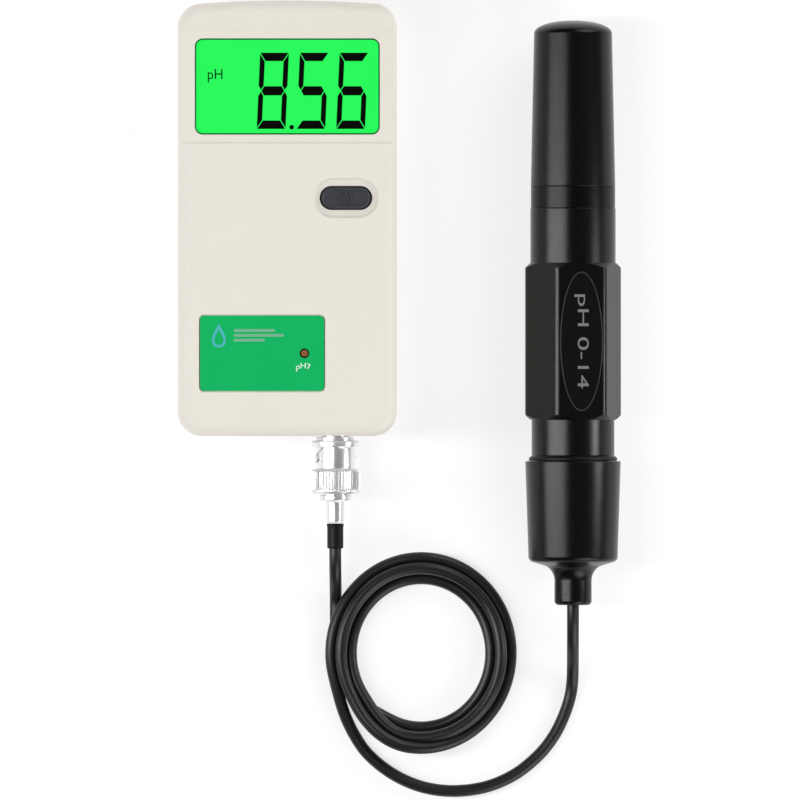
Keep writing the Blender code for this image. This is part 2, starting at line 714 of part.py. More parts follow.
def make_front_case():
    case = piece(
        "front_case",
        loft(case_shell_rings(0.0, FRONT_BOTTOM, FACE, 0.0, FRONT_EDGE)),
        "ivory_plastic",
    )
    hollow = helper(
        "front_hollow",
        loft(
            case_shell_rings(
                CASE_WALL, FRONT_BOTTOM - OVERCUT, INNER_FACE, 0.0, FRONT_EDGE - CASE_WALL / 2
            )
        ),
    )
    combine(case, hollow, "DIFFERENCE")
    into_wall = INNER_FACE + CASE_WALL / 3
    for index, place in enumerate(SCREW_PLACES):
        boss = helper(
            f"front_boss_{index + 1}",
            cylinder(BOSS_RADIUS, FRONT_BOTTOM + GAP, into_wall, COARSE, place),
        )
        combine(case, boss, "UNION")
        hole = helper(
            f"front_boss_hole_{index + 1}",
            cylinder(
                SCREW_HOLE,
                FRONT_BOTTOM - OVERCUT,
                FRONT_BOTTOM + SCREW_GRIP + OVERCUT,
                COARSE,
                place,
            ),
        )
        combine(case, hole, "DIFFERENCE")
    for index, place in enumerate(POST_PLACES):
        post = helper(
            f"board_post_{index + 1}", cylinder(POST_RADIUS, ON_BOARD, into_wall, COARSE, place)
        )
        combine(case, post, "UNION")
        hole = helper(
            f"board_post_hole_{index + 1}",
            cylinder(BOARD_SCREW_HOLE, ON_BOARD - OVERCUT, INNER_FACE - OVERCUT, COARSE, place),
        )
        combine(case, hole, "DIFFERENCE")
    band_half = WINDOW_HEIGHT / 2 + BAND_MARGIN
    band = helper(
        "band_recess",
        box(
            (-CASE_WIDTH, WINDOW_Y - band_half, BAND_FACE),
            (CASE_WIDTH, WINDOW_Y + band_half, FACE + OVERCUT),
        ),
    )
    combine(case, band, "DIFFERENCE")
    window = helper(
        "window_hole",
        slab(
            rounded_rectangle((WINDOW_WIDTH, WINDOW_HEIGHT), WINDOW_CORNER, (0.0, WINDOW_Y)),
            INNER_FACE - OVERCUT,
            FACE + OVERCUT,
        ),
    )
    combine(case, window, "DIFFERENCE")
    combine(case, button_hole(), "DIFFERENCE")
    label = helper(
        "label_recess",
        slab(
            rounded_rectangle(
                (LABEL_SIZE[0] + 2 * GAP, LABEL_SIZE[1] + 2 * GAP), LABEL_CORNER + GAP, LABEL_PLACE
            ),
            FACE - LABEL_THICKNESS - GAP,
            FACE + OVERCUT,
        ),
    )
    combine(case, label, "DIFFERENCE")
    trimmer = helper(
        "trimmer_hole",
        cylinder(TRIMMER_HOLE, INNER_FACE - OVERCUT, FACE + OVERCUT, MEDIUM, TRIMMER_PLACE),
    )
    combine(case, trimmer, "DIFFERENCE")
    return case


def button_hole():
    """The oval hole for the button and the dish that leads into it, as one cutter."""
    floor = FACE - DISH_DEPTH
    rings = [
        (stadium(BUTTON_HOLE, BUTTON_PLACE), INNER_FACE - OVERCUT),
        (stadium(BUTTON_HOLE, BUTTON_PLACE), floor),
    ]
    for step in range(1, ARC_STEPS + 1):
        share = step / ARC_STEPS
        size = [
            hole + (dish - hole) * share for hole, dish in zip(BUTTON_HOLE, DISH)
        ]
        rings.append((stadium(size, BUTTON_PLACE), floor + DISH_DEPTH * share**2))
    rings.append((stadium(DISH, BUTTON_PLACE), FACE + OVERCUT))
    return helper("button_hole", loft(rings))


def make_back_case():
    case = piece(
        "back_case",
        loft(case_shell_rings(0.0, 0.0, BACK_TOP, BACK_EDGE, 0.0)),
        "ivory_plastic",
    )
    hollow = helper(
        "back_hollow",
        loft(
            case_shell_rings(
                CASE_WALL, CASE_WALL, BACK_TOP + OVERCUT, BACK_EDGE - CASE_WALL / 2, 0.0
            )
        ),
    )
    combine(case, hollow, "DIFFERENCE")
    below_rim = BACK_TOP - GAP
    in_floor = CASE_WALL / 2
    in_top_wall = HALF_LENGTH - CASE_WALL / 2
    rail_half = BAY_HALF + DOOR_OVERLAP + DOOR_TONGUE + GAP + DOOR_PAD
    pad_top = BATTERY_BOTTOM + DOOR_PAD
    pad = helper(
        "door_pad",
        box((-rail_half, BAY_LOW_Y - 2 * DOOR_PAD, in_floor), (rail_half, in_top_wall, pad_top)),
    )
    combine(case, pad, "UNION")
    bay_wall = helper(
        "bay_wall",
        box(
            (-BAY_HALF - BAY_WALL, BAY_LOW_Y - BAY_WALL, in_floor + GAP),
            (BAY_HALF + BAY_WALL, in_top_wall - GAP, below_rim),
        ),
    )
    combine(case, bay_wall, "UNION")
    for index, place in enumerate(SCREW_PLACES):
        boss = helper(
            f"back_boss_{index + 1}", cylinder(BOSS_RADIUS, in_floor, below_rim, COARSE, place)
        )
        combine(case, boss, "UNION")
    bay = helper(
        "battery_bay",
        box(
            (-BAY_HALF, BAY_LOW_Y, -OVERCUT),
            (BAY_HALF, BAY_TOP_Y, BACK_TOP + OVERCUT),
        ),
    )
    combine(case, bay, "DIFFERENCE")
    notch = helper(
        "lead_notch",
        box(
            (-LEAD_NOTCH[0] / 2, BAY_LOW_Y - BAY_WALL - OVERCUT, BACK_TOP - LEAD_NOTCH[1]),
            (LEAD_NOTCH[0] / 2, BAY_LOW_Y + OVERCUT, BACK_TOP + OVERCUT),
        ),
    )
    combine(case, notch, "DIFFERENCE")
    combine(case, door_slot(), "DIFFERENCE")
    for index, place in enumerate(SCREW_PLACES):
        sink = SCREW_SINK + SCREW_HEAD_HEIGHT + GAP
        rings = [
            (SCREW_HEAD + GAP, -OVERCUT),
            (SCREW_HEAD + GAP, sink),
            (SCREW_HOLE, sink),
            (SCREW_HOLE, BACK_TOP + OVERCUT),
        ]
        hole = helper(
            f"screw_hole_{index + 1}",
            loft(
                [
                    (arc(place, radius, 0.0, math.tau, COARSE)[:-1], height)
                    for radius, height in rings
                ]
            ),
        )
        combine(case, hole, "DIFFERENCE")
    jack_hole = helper(
        "jack_hole",
        cylinder(JACK_HOLE, -CASE_WALL - OVERCUT, OVERCUT),
        CONNECTOR,
    )
    combine(case, jack_hole, "DIFFERENCE")
    return case


def door_section(clearance):
    """The door's cross-section across X: a plate with a tongue along each side."""
    half = BAY_HALF + DOOR_OVERLAP + clearance
    tongue = half + DOOR_TONGUE
    low = DOOR_RECESS if clearance == 0.0 else -OVERCUT
    high = DOOR_RECESS + DOOR_THICKNESS + clearance
    step = DOOR_LIP + GAP - clearance
    right = [(half, low), (half, step), (tongue, step), (tongue, high)]
    return right + [(-x, z) for x, z in reversed(right)]


def door_prism(clearance, low_y, high_y):
    shape = slab(door_section(clearance), 0.0, high_y - low_y)
    for vert in shape.verts:
        x, z, along = vert.co
        vert.co = (x, high_y - along, z)
    return shape


def door_slot():
    return helper("door_slot", door_prism(GAP, BAY_LOW_Y - DOOR_OVERLAP, HALF_LENGTH + OVERCUT))


def make_battery_door():
    start = BAY_LOW_Y - DOOR_OVERLAP + GAP
    door = piece(
        "battery_door", door_prism(0.0, start, HALF_LENGTH + OVERCUT / 2), "ivory_plastic"
    )
    bounds = helper(
        "door_bounds", loft(case_shell_rings(0.0, 0.0, BACK_TOP, BACK_EDGE, 0.0))
    )
    combine(door, bounds, "INTERSECT")
    for index in range(GRIP_GROOVES):
        low_y = start + BATTERY[1] / 2 + GRIP_PITCH * index
        groove = helper(
            f"grip_groove_{index + 1}",
            box(
                (-BAY_HALF / 2, low_y, -OVERCUT),
                (BAY_HALF / 2, low_y + GRIP_PITCH / 2, DOOR_RECESS + 2 * GAP),
            ),
        )
        combine(door, groove, "DIFFERENCE")
    return door


def screw_shape(head, head_height, shank, head_bottom, tip):
    """A pan-head screw standing head down, with a crossed slot in the head."""
    profile = [
        (0.0, head_bottom),
        (head * SCREW_CROWN, head_bottom),
        (head, head_bottom + head_height / 3),
        (head, head_bottom + head_height),
        (shank, head_bottom + head_height),
        (shank, tip - shank),
        (0.0, tip),
    ]
    return turned(profile, COARSE)


def make_case_screws():
    for index, place in enumerate(SCREW_PLACES):
        screw = piece(
            f"case_screw_{index + 1}",
            screw_shape(
                SCREW_HEAD, SCREW_HEAD_HEIGHT, SCREW_SHANK, SCREW_SINK, FRONT_BOTTOM + SCREW_GRIP
            ),
            "screw_steel",
            place=(*place, 0.0),
        )
        long_half = SCREW_HEAD * SCREW_CROSS[0] / 2
        short_half = SCREW_HEAD * SCREW_CROSS[1] / 2
        for turn, half_x, half_y in (("x", long_half, short_half), ("y", short_half, long_half)):
            slot = helper(
                f"case_screw_{index + 1}_slot_{turn}",
                box((-half_x, -half_y, 0.0), (half_x, half_y, SCREW_SINK + SLOT_DEPTH * 2)),
                place=(*place, 0.0),
            )
            combine(screw, slot, "DIFFERENCE")


# --- Display --------------------------------------------------------------------------------------


def make_display():
    hole = (WINDOW_WIDTH - 2 * GAP, WINDOW_HEIGHT - 2 * GAP)
    flange = (WINDOW_WIDTH + 2 * WINDOW_FLANGE, WINDOW_HEIGHT + 2 * WINDOW_FLANGE)
    centre = (0.0, WINDOW_Y)
    window = rounded_rectangle(hole, WINDOW_CORNER - GAP, centre)
    wide = rounded_rectangle(flange, WINDOW_CORNER + WINDOW_FLANGE, centre)
    piece(
        "display_window",
        loft(
            [
                (wide, FLANGE_TOP - FLANGE_THICKNESS),
                (wide, FLANGE_TOP),
                (window, FLANGE_TOP),
                (window, BAND_FACE - WINDOW_SINK),
            ]
        ),
        "window_plastic",
    )
    half_x = LCD_SIZE[0] / 2
    half_y = LCD_SIZE[1] / 2
    lcd_bottom = LCD_TOP - LCD_THICKNESS
    piece(
        "lcd_glass",
        box((-half_x, WINDOW_Y - half_y, lcd_bottom), (half_x, WINDOW_Y + half_y, LCD_TOP)),
        "lcd_green",
    )
    strip_top = WINDOW_Y - half_y + ZEBRA_WIDTH
    under_lcd = lcd_bottom - GAP
    piece(
        "zebra_strip",
        box((GAP - half_x, WINDOW_Y - half_y, ON_BOARD), (half_x - GAP, strip_top, under_lcd)),
        "zebra_rubber",
    )
    piece(
        "lcd_backlight",
        box((-half_x, strip_top + GAP, ON_BOARD), (half_x, WINDOW_Y + half_y, under_lcd)),
        "light_block",
    )


# --- Board and what stands on it ------------------------------------------------------------------


def standing_box(name, size, place, finish):
    half_x = size[0] / 2
    half_y = size[1] / 2
    return piece(
        name,
        box((-half_x, -half_y, 0.0), (half_x, half_y, size[2])),
        finish,
        place=(*place, ON_BOARD),
    )


def make_board():
    board = piece(
        "main_board",
        box(
            (-BOARD_HALF_X, -BOARD_HALF_Y, BOARD_BOTTOM), (BOARD_HALF_X, BOARD_HALF_Y, BOARD_TOP)
        ),
        "board_green",
    )
    for index, place in enumerate(POST_PLACES):
        hole = helper(
            f"board_hole_{index + 1}",
            cylinder(
                BOARD_SCREW_HOLE, BOARD_BOTTOM - OVERCUT, BOARD_TOP + OVERCUT, COARSE, place
            ),
        )
        combine(board, hole, "DIFFERENCE")
        head_bottom = UNDER_BOARD - BOARD_SCREW_HEAD_HEIGHT
        piece(
            f"board_screw_{index + 1}",
            screw_shape(
                BOARD_SCREW_HEAD,
                BOARD_SCREW_HEAD_HEIGHT,
                BOARD_SCREW_SHANK,
                head_bottom,
                INNER_FACE - OVERCUT - 2 * GAP,
            ),
            "screw_steel",
            place=(*place, 0.0),
        )
    standing_box("controller_chip", CHIP, (COMPONENTS_X, HALF_LENGTH - CHIP_FROM_TOP), "chip_black")
    standing_box(
        "amplifier_chip", AMPLIFIER, (COMPONENTS_X, HALF_LENGTH - AMPLIFIER_FROM_TOP), "chip_black"
    )
    piece(
        "capacitor",
        cylinder(CAPACITOR_RADIUS, 0.0, CAPACITOR_HEIGHT, COARSE),
        "capacitor_sleeve",
        place=(COMPONENTS_X, HALF_LENGTH - CAPACITOR_FROM_TOP, ON_BOARD),
    )


def make_power_button():
    body = (BUTTON_HOLE[0] - 2 * BUTTON_CLEARANCE, BUTTON_HOLE[1] - 2 * BUTTON_CLEARANCE)
    edge = BUTTON_CLEARANCE
    flange = (body[0] + 2 * BUTTON_FLANGE, body[1] + 2 * BUTTON_FLANGE)
    crown = (body[0] - 2 * edge, body[1] - 2 * edge)
    flange_top = INNER_FACE - GAP
    piece(
        "power_button",
        loft(
            [
                (stadium(flange), BUTTON_BOTTOM),
                (stadium(flange), flange_top),
                (stadium(body), flange_top),
                (stadium(body), BUTTON_TOP - edge),
                (stadium(crown), BUTTON_TOP),
            ]
        ),
        "slate_rubber",
        place=(*BUTTON_PLACE, 0.0),
    )
    half = SWITCH_SIZE / 2
    switch = piece(
        "tact_switch",
        box((-half, -half, ON_BOARD), (half, half, SWITCH_TOP)),
        "switch_black",
        place=(*BUTTON_PLACE, 0.0),
    )
    well_bottom = PLUNGER_TOP - PLUNGER_LENGTH - BUTTON_TRAVEL - GAP
    well = helper(
        "plunger_well",
        cylinder(PLUNGER_RADIUS + GAP, well_bottom, SWITCH_TOP + OVERCUT, COARSE),
        place=(*BUTTON_PLACE, 0.0),
    )
    combine(switch, well, "DIFFERENCE")
    piece(
        "tact_plunger",
        cylinder(PLUNGER_RADIUS, PLUNGER_TOP - PLUNGER_LENGTH, PLUNGER_TOP, COARSE),
        "switch_black",
        place=(*BUTTON_PLACE, 0.0),
    )


def make_trimmer():
    half = TRIMMER_SIZE / 2
    place = (*TRIMMER_PLACE, 0.0)
    body = piece(
        "trimmer_body",
        box((-half, -half, ON_BOARD), (half, half, TRIMMER_TOP)),
        "trimmer_blue",
        place=place,
    )
    well = helper(
        "trimmer_well",
        cylinder(TRIMMER_SCREW + GAP, TRIMMER_SCREW_BOTTOM - GAP, TRIMMER_TOP + OVERCUT),
        place=place,
    )
    combine(body, well, "DIFFERENCE")
    screw = piece(
        "trimmer_screw",
        cylinder(TRIMMER_SCREW, TRIMMER_SCREW_BOTTOM, TRIMMER_SCREW_TOP),
        "copper",
        place=place,
    )
    slot = helper(
        "trimmer_slot",
        box(
            (-2 * TRIMMER_SCREW, -SLOT_WIDTH / 2, TRIMMER_SCREW_TOP - SLOT_DEPTH),
            (2 * TRIMMER_SCREW, SLOT_WIDTH / 2, TRIMMER_SCREW_TOP + OVERCUT),
        ),
        place=place,
    )
    combine(screw, slot, "DIFFERENCE")
    label = piece(
        "label_plate",
        slab(
            rounded_rectangle(LABEL_SIZE, LABEL_CORNER, LABEL_PLACE),
            FACE - LABEL_THICKNESS,
            FACE,
        ),
        "label_green",
    )
    hole = helper(
        "label_hole",
        cylinder(TRIMMER_HOLE, FACE - 2 * OVERCUT, FACE + OVERCUT, MEDIUM, TRIMMER_PLACE),
    )
    combine(label, hole, "DIFFERENCE")


# --- Battery and door -----------------------------------------------------------------------------


def along_y(shape, place):
    """Turns a shape that stands on Z = 0 so that it runs towards -Y from the given place."""
    for vert in shape.verts:
        x, y, z = vert.co
        vert.co = (place[0] + x, place[1] - z, place[2] + y)
    return shape


def terminal_places():
    return [(side * TERMINAL_SPACING / 2, BATTERY_MIDDLE_Z) for side in (-1, 1)]


def make_battery():
    outline = rounded_rectangle((BATTERY[0], BATTERY[2]), BATTERY_CORNER)
    battery = piece(
        "battery",
        along_y(slab(outline, 0.0, BATTERY[1]), (0.0, BATTERY_TOP_Y, BATTERY_MIDDLE_Z)),
        "battery_jacket",
    )
    half_x = SNAP_SIZE[0] / 2
    half_z = SNAP_SIZE[2] / 2
    snap = piece(
        "battery_snap",
        box(
            (-half_x, SNAP_LOW_Y, BATTERY_MIDDLE_Z - half_z),
            (half_x, SNAP_TOP_Y, BATTERY_MIDDLE_Z + half_z),
        ),
        "snap_black",
    )
    for index, (x, z) in enumerate(terminal_places()):
        radius = TERMINAL_RADII[index]
        start = (x, BATTERY_LOW_Y + OVERCUT, z)
        terminal = helper(
            f"terminal_{index + 1}",
            along_y(cylinder(radius, 0.0, OVERCUT + TERMINAL_LENGTH, COARSE), start),
        )
        combine(battery, terminal, "UNION")
        pocket = helper(
            f"snap_pocket_{index + 1}",
            along_y(cylinder(radius + GAP, 0.0, OVERCUT + GAP + SNAP_POCKET, COARSE), start),
        )
        combine(snap, pocket, "DIFFERENCE")


def make_wires():
    """The battery's two leads and the wire from the jack, each up to the board's underside."""
    for name, side in (("red", -1), ("black", 1)):
        x = side * LEAD_SPACING / 2
        y = SNAP_LOW_Y - GAP
        z = BATTERY_MIDDLE_Z + LEAD_RISE
        route = [(x, y - out, z + up) for out, up in LEAD_BENDS]
        route.append((x, y - LEAD_REACH, UNDER_BOARD))
        tube(f"battery_lead_{name}", route, LEAD_RADIUS, f"lead_{name}", LEAD_POINTS)
    y = JACK_STUB_LENGTH + 2 * GAP + CASE_WALL - HALF_LENGTH
    route = [
        (CONNECTOR_X - aside, y + inwards, CONNECTOR_HEIGHT + up)
        for aside, inwards, up in SIGNAL_BENDS
    ]
    route.append((CONNECTOR_X - SIGNAL_REACH[0], y + SIGNAL_REACH[1], UNDER_BOARD))
    tube("signal_lead", route, LEAD_RADIUS, "lead_black", LEAD_POINTS)


# --- Bayonet connector ----------------------------------------------------------------------------


def spoke(angle, radius, inside, outside):
    """A cylinder that stands out from the connector's axis at the lugs' height."""
    shape = cylinder(radius, inside, outside, COARSE)
    for vert in shape.verts:
        x, y, z = vert.co
        vert.co = (
            z * math.cos(angle) - x * math.sin(angle),
            z * math.sin(angle) + x * math.cos(angle),
            LUG_AT + y,
        )
    return shape


def make_jack():
    stub = -CASE_WALL - JACK_STUB_LENGTH
    bore = INSULATOR_RADIUS + GAP
    jack = piece(
        "bnc_jack",
        turned(
            [
                (bore, stub),
                (JACK_STUB, stub),
                (JACK_STUB, GAP),
                (JACK_RADIUS, GAP),
                (JACK_RADIUS, JACK_END - GAP),
                (JACK_RADIUS - GAP, JACK_END),
                (JACK_BORE, JACK_END),
                (JACK_BORE, GAP + CASE_WALL),
                (bore, GAP + CASE_WALL),
            ],
            MEDIUM,
        ),
        "nickel",
        CONNECTOR,
    )
    for index, angle in enumerate(LUG_ANGLES):
        shape = spoke(angle, LUG_RADIUS, (JACK_BORE + JACK_RADIUS) / 2, LUG_REACH)
        combine(jack, helper(f"lug_{index + 1}", shape, CONNECTOR), "UNION")
    piece(
        "jack_insulator",
        ring(INSULATOR_RADIUS, CONTACT_RADIUS + GAP, stub + OVERCUT, CONTACT_END, COARSE),
        "white_insulator",
        CONNECTOR,
    )
    piece(
        "jack_contact",
        ring(CONTACT_RADIUS, PIN_RADIUS + GAP, stub, CONTACT_END - GAP, COARSE),
        "gold_contact",
        CONNECTOR,
    )
    washer_end = -CASE_WALL - GAP
    washer_start = washer_end - WASHER_THICKNESS
    piece(
        "jack_washer",
        ring(WASHER_RADIUS, JACK_HOLE, washer_start, washer_end),
        "nickel",
        CONNECTOR,
    )
    nut_end = washer_start - GAP
    nut = piece(
        "jack_nut",
        slab(polygon(JACK_NUT_FLATS / math.sqrt(3), 6), nut_end - JACK_NUT_THICKNESS, nut_end),
        "nickel",
        CONNECTOR,
    )
    nut_hole = helper(
        "jack_nut_hole",
        cylinder(JACK_HOLE, nut_end - JACK_NUT_THICKNESS - OVERCUT, nut_end + OVERCUT),
        CONNECTOR,
    )
    combine(nut, nut_hole, "DIFFERENCE")


def helix_cutter(start_angle):
    """A bar that follows a lug's way through the nut, turning by SLOT_LEAD for each metre of travel.

    The nut locks when it is turned clockwise, seen from the cable.

    It cuts right through the barrel, but only a groove into the rim, which is thicker.
    """
    half = LUG_RADIUS + SLOT_CLEARANCE
    travel = LUG_AT - NUT_START + OVERCUT
    run = SLOT_LEAD * BARREL_RADIUS
    slant = math.hypot(run, 1.0)
    half_turn = half / slant / BARREL_RADIUS
    half_rise = half * run / slant
    inside = NUT_BORE - GAP
    outside = LUG_REACH + 3 * GAP
    corners = [(inside, -1), (outside, -1), (outside, 1), (inside, 1)]
    shape = bmesh.new()
    loops = []
    for step in range(SLOT_STEPS + 1):
        away = travel * step / SLOT_STEPS
        angle = start_angle - SLOT_LEAD * away
        loops.append(
            [
                shape.verts.new(
                    (
                        radius * math.cos(angle + side * half_turn),
                        radius * math.sin(angle + side * half_turn),
                        LUG_AT - away - side * half_rise,
                    )
                )
                for radius, side in corners
            ]
        )
    for low, high in zip(loops, loops[1:]):
        for here in range(len(corners)):
            there = (here + 1) % len(corners)
            shape.faces.new((low[here], low[there], high[there], high[here]))
    shape.faces.new(list(reversed(loops[0])))
    shape.faces.new(loops[-1])
    return shape


def make_coupling_nut():
    nut = piece(
        "bnc_nut",
        turned(
            [
                (NUT_BORE, NUT_START),
                (RIM_RADIUS - GAP, NUT_START),
                (RIM_RADIUS, NUT_START + GAP),
                (RIM_RADIUS, NUT_BARREL_START),
                (BARREL_RADIUS, NUT_BARREL_START),
                (BARREL_RADIUS, KNURL_START),
                (KNURL_RADIUS - KNURL_CHAMFER, KNURL_START),
                (KNURL_RADIUS, KNURL_START + KNURL_CHAMFER),
                (KNURL_RADIUS, NUT_END - KNURL_CHAMFER),
                (KNURL_RADIUS - KNURL_CHAMFER, NUT_END),
                (NUT_LIP, NUT_END),
                (NUT_LIP, LIP_FACE),
                (NUT_BORE, LIP_FACE),
            ]
        ),
        "nickel",
        CONNECTOR,
    )
    for index, angle in enumerate(LUG_ANGLES):
        slot = helper(f"bayonet_slot_{index + 1}", helix_cutter(angle), CONNECTOR)
        combine(nut, slot, "DIFFERENCE")
        shape = spoke(angle, LUG_RADIUS + SLOT_CLEARANCE, NUT_BORE - GAP, KNURL_RADIUS)
        combine(nut, helper(f"lug_hole_{index + 1}", shape, CONNECTOR), "DIFFERENCE")


def make_plug():
    sleeve_bore = INSULATOR_RADIUS + GAP
    cavity_end = PLUG_END - PLUG_BACK_WALL
    piece(
        "plug_body",
        turned(
            [
                (sleeve_bore, PLUG_SLEEVE_START),
                (PLUG_SLEEVE, PLUG_SLEEVE_START),
                (PLUG_SLEEVE, SHOULDER_START),
                (PLUG_SHOULDER, SHOULDER_START),
                (PLUG_SHOULDER, SHOULDER_END),
                (PLUG_NECK, SHOULDER_END),
                (PLUG_NECK, PLUG_RING_START),
                (PLUG_RING, PLUG_RING_START),
                (PLUG_RING, PLUG_END - 2 * GAP),
                (PLUG_RING - 2 * GAP, PLUG_END),
                (CORD_RADIUS, PLUG_END),
                (CORD_RADIUS, cavity_end),
                (sleeve_bore, cavity_end),
            ],
            MEDIUM,
        ),
        "nickel",
        CONNECTOR,
    )
    insulator_end = cavity_end - GAP
    piece(
        "plug_insulator",
        ring(INSULATOR_RADIUS, PIN_RADIUS + GAP, JACK_END + GAP, insulator_end, COARSE),
        "white_insulator",
        CONNECTOR,
    )
    piece(
        "plug_pin",
        turned(
            [
                (0.0, PIN_START),
                (PIN_RADIUS, PIN_START + PIN_RADIUS),
                (PIN_RADIUS, insulator_end),
                (0.0, insulator_end),
            ],
            COARSE,
        ),
        "gold_contact",
        CONNECTOR,
    )
    washer_start = SHOULDER_END + GAP
    piece(
        "wave_washer",
        ring(PLUG_SHOULDER, NUT_LIP, washer_start, washer_start + WAVE_WASHER_THICKNESS),
        "nickel",
        CONNECTOR,
    )
    ferrule_end = FERRULE_START + FERRULE_LENGTH
    piece(
        "crimp_ferrule",
        ring(FERRULE_RADIUS, CORD_RADIUS, FERRULE_START, ferrule_end),
        "nickel",
        CONNECTOR,
    )
    boot_end = BOOT_START + BOOT_LENGTH - GAP
    piece(
        "cable_boot",
        turned(
            [
                (0.0, BOOT_START),
                (BOOT_RADIUS + GAP, BOOT_START),
                (BOOT_RADIUS, BOOT_START + 3 * GAP),
                (BOOT_RADIUS, boot_end - GAP),
                (BOOT_RADIUS - GAP, boot_end),
                (0.0, boot_end),
            ],
            COARSE,
        ),
        "black_rubber",
        CONNECTOR,
    )


# --- Electrode ------------------------------------------------------------------------------------


def make_relief():
    """A stub for the cable, flared where it meets the sleeve and flanged inside it."""
    flare = RELIEF_FLARE - RELIEF_RADIUS
    profile = [(0.0, 0.0), (RELIEF_RADIUS - RELIEF_ROUNDING, 0.0)]
    for step in range(1, ARC_STEPS + 1):
        angle = math.pi / 2 * step / ARC_STEPS
        profile.append(
            (
                RELIEF_RADIUS - RELIEF_ROUNDING * (1 - math.sin(angle)),
                RELIEF_ROUNDING * (1 - math.cos(angle)),
            )
        )
    for step in range(ARC_STEPS + 1):
        angle = math.pi / 2 * step / ARC_STEPS
        profile.append(
            (
                RELIEF_RADIUS + flare * (1 - math.cos(angle)),
                RELIEF_LENGTH - GAP - flare * (1 - math.sin(angle)),
            )
        )
    through = RELIEF_LENGTH + SLEEVE_WALL + 2 * GAP
    profile += [
        (RELIEF_FLARE, RELIEF_LENGTH),
        (RELIEF_RADIUS, RELIEF_LENGTH),
        (RELIEF_RADIUS, through),
        (RELIEF_FLANGE, through),
        (RELIEF_FLANGE, through + SLEEVE_WALL),
        (0.0, through + SLEEVE_WALL),
    ]
    piece("strain_relief", turned(profile, MEDIUM), "black_plastic", ELECTRODE)


def make_sleeve():
    floor = SLEEVE_START + SLEEVE_WALL
    inner_end = SLEEVE_END_RADIUS - SLEEVE_WALL
    inner_mouth = SLEEVE_MOUTH_RADIUS - SLEEVE_WALL
    profile = [(RELIEF_RADIUS + GAP, SLEEVE_START), (SLEEVE_END_RADIUS - SLEEVE_ROUNDING, SLEEVE_START)]
    for step in range(1, ARC_STEPS + 1):
        angle = math.pi / 2 * step / ARC_STEPS
        profile.append(
            (
                SLEEVE_END_RADIUS - SLEEVE_ROUNDING * (1 - math.sin(angle)),
                SLEEVE_START + SLEEVE_ROUNDING * (1 - math.cos(angle)),
            )
        )
    profile += [
        (SLEEVE_MOUTH_RADIUS, SLEEVE_MOUTH - GAP),
        (SLEEVE_MOUTH_RADIUS - GAP, SLEEVE_MOUTH),
        (inner_mouth, SLEEVE_MOUTH),
        (inner_end, floor),
        (RELIEF_RADIUS + GAP, floor),
    ]
    piece("sleeve", turned(profile), "black_plastic", ELECTRODE)


def make_o_ring():
    bore = SPIGOT_RADIUS + GAP
    middle = (O_RING_RADIUS + bore) / 2
    half = (O_RING_RADIUS - bore) / 2
    profile = []
    for step in range(END_STEPS):
        angle = math.tau * step / END_STEPS
        profile.append(
            (
                middle + half * math.cos(angle),
                O_RING_START + O_RING_LENGTH / 2 * (1 + math.sin(angle)),
            )
        )
    piece("o_ring", turned(profile), "black_rubber", ELECTRODE)


def hex_barrel():
    """Cones that take the corners off both ends of the hexagon."""
    drop = (HEX_CORNER - COLLAR_RADIUS) * math.tan(HEX_CHAMFER)
    wide = HEX_CORNER + OVERCUT
    reach = drop + OVERCUT * math.tan(HEX_CHAMFER)
    profile = [
        (0.0, HEX_START),
        (COLLAR_RADIUS, HEX_START),
        (wide, HEX_START + reach),
        (wide, COLLAR_START - reach),
        (COLLAR_RADIUS, COLLAR_START),
        (0.0, COLLAR_START),
    ]
    return helper("hex_barrel", turned(profile, BARREL_STEPS), ELECTRODE)


def on_hex_face(shape):
    """Lays a flat shape on the hexagon's upper face: its Z becomes the face's outward direction.

    In the electrode's own frame +Y points down at the table, so the face looks towards -Y, tilted to +X.
    """
    out_x = math.sin(HEX_TILT)
    out_y = -math.cos(HEX_TILT)
    for vert in shape.verts:
        across, along, out = vert.co
        reach = HEX_HALF + out
        vert.co = (
            reach * out_x - across * out_y,
            reach * out_y + across * out_x,
            PANEL_AT + along,
        )
    return shape


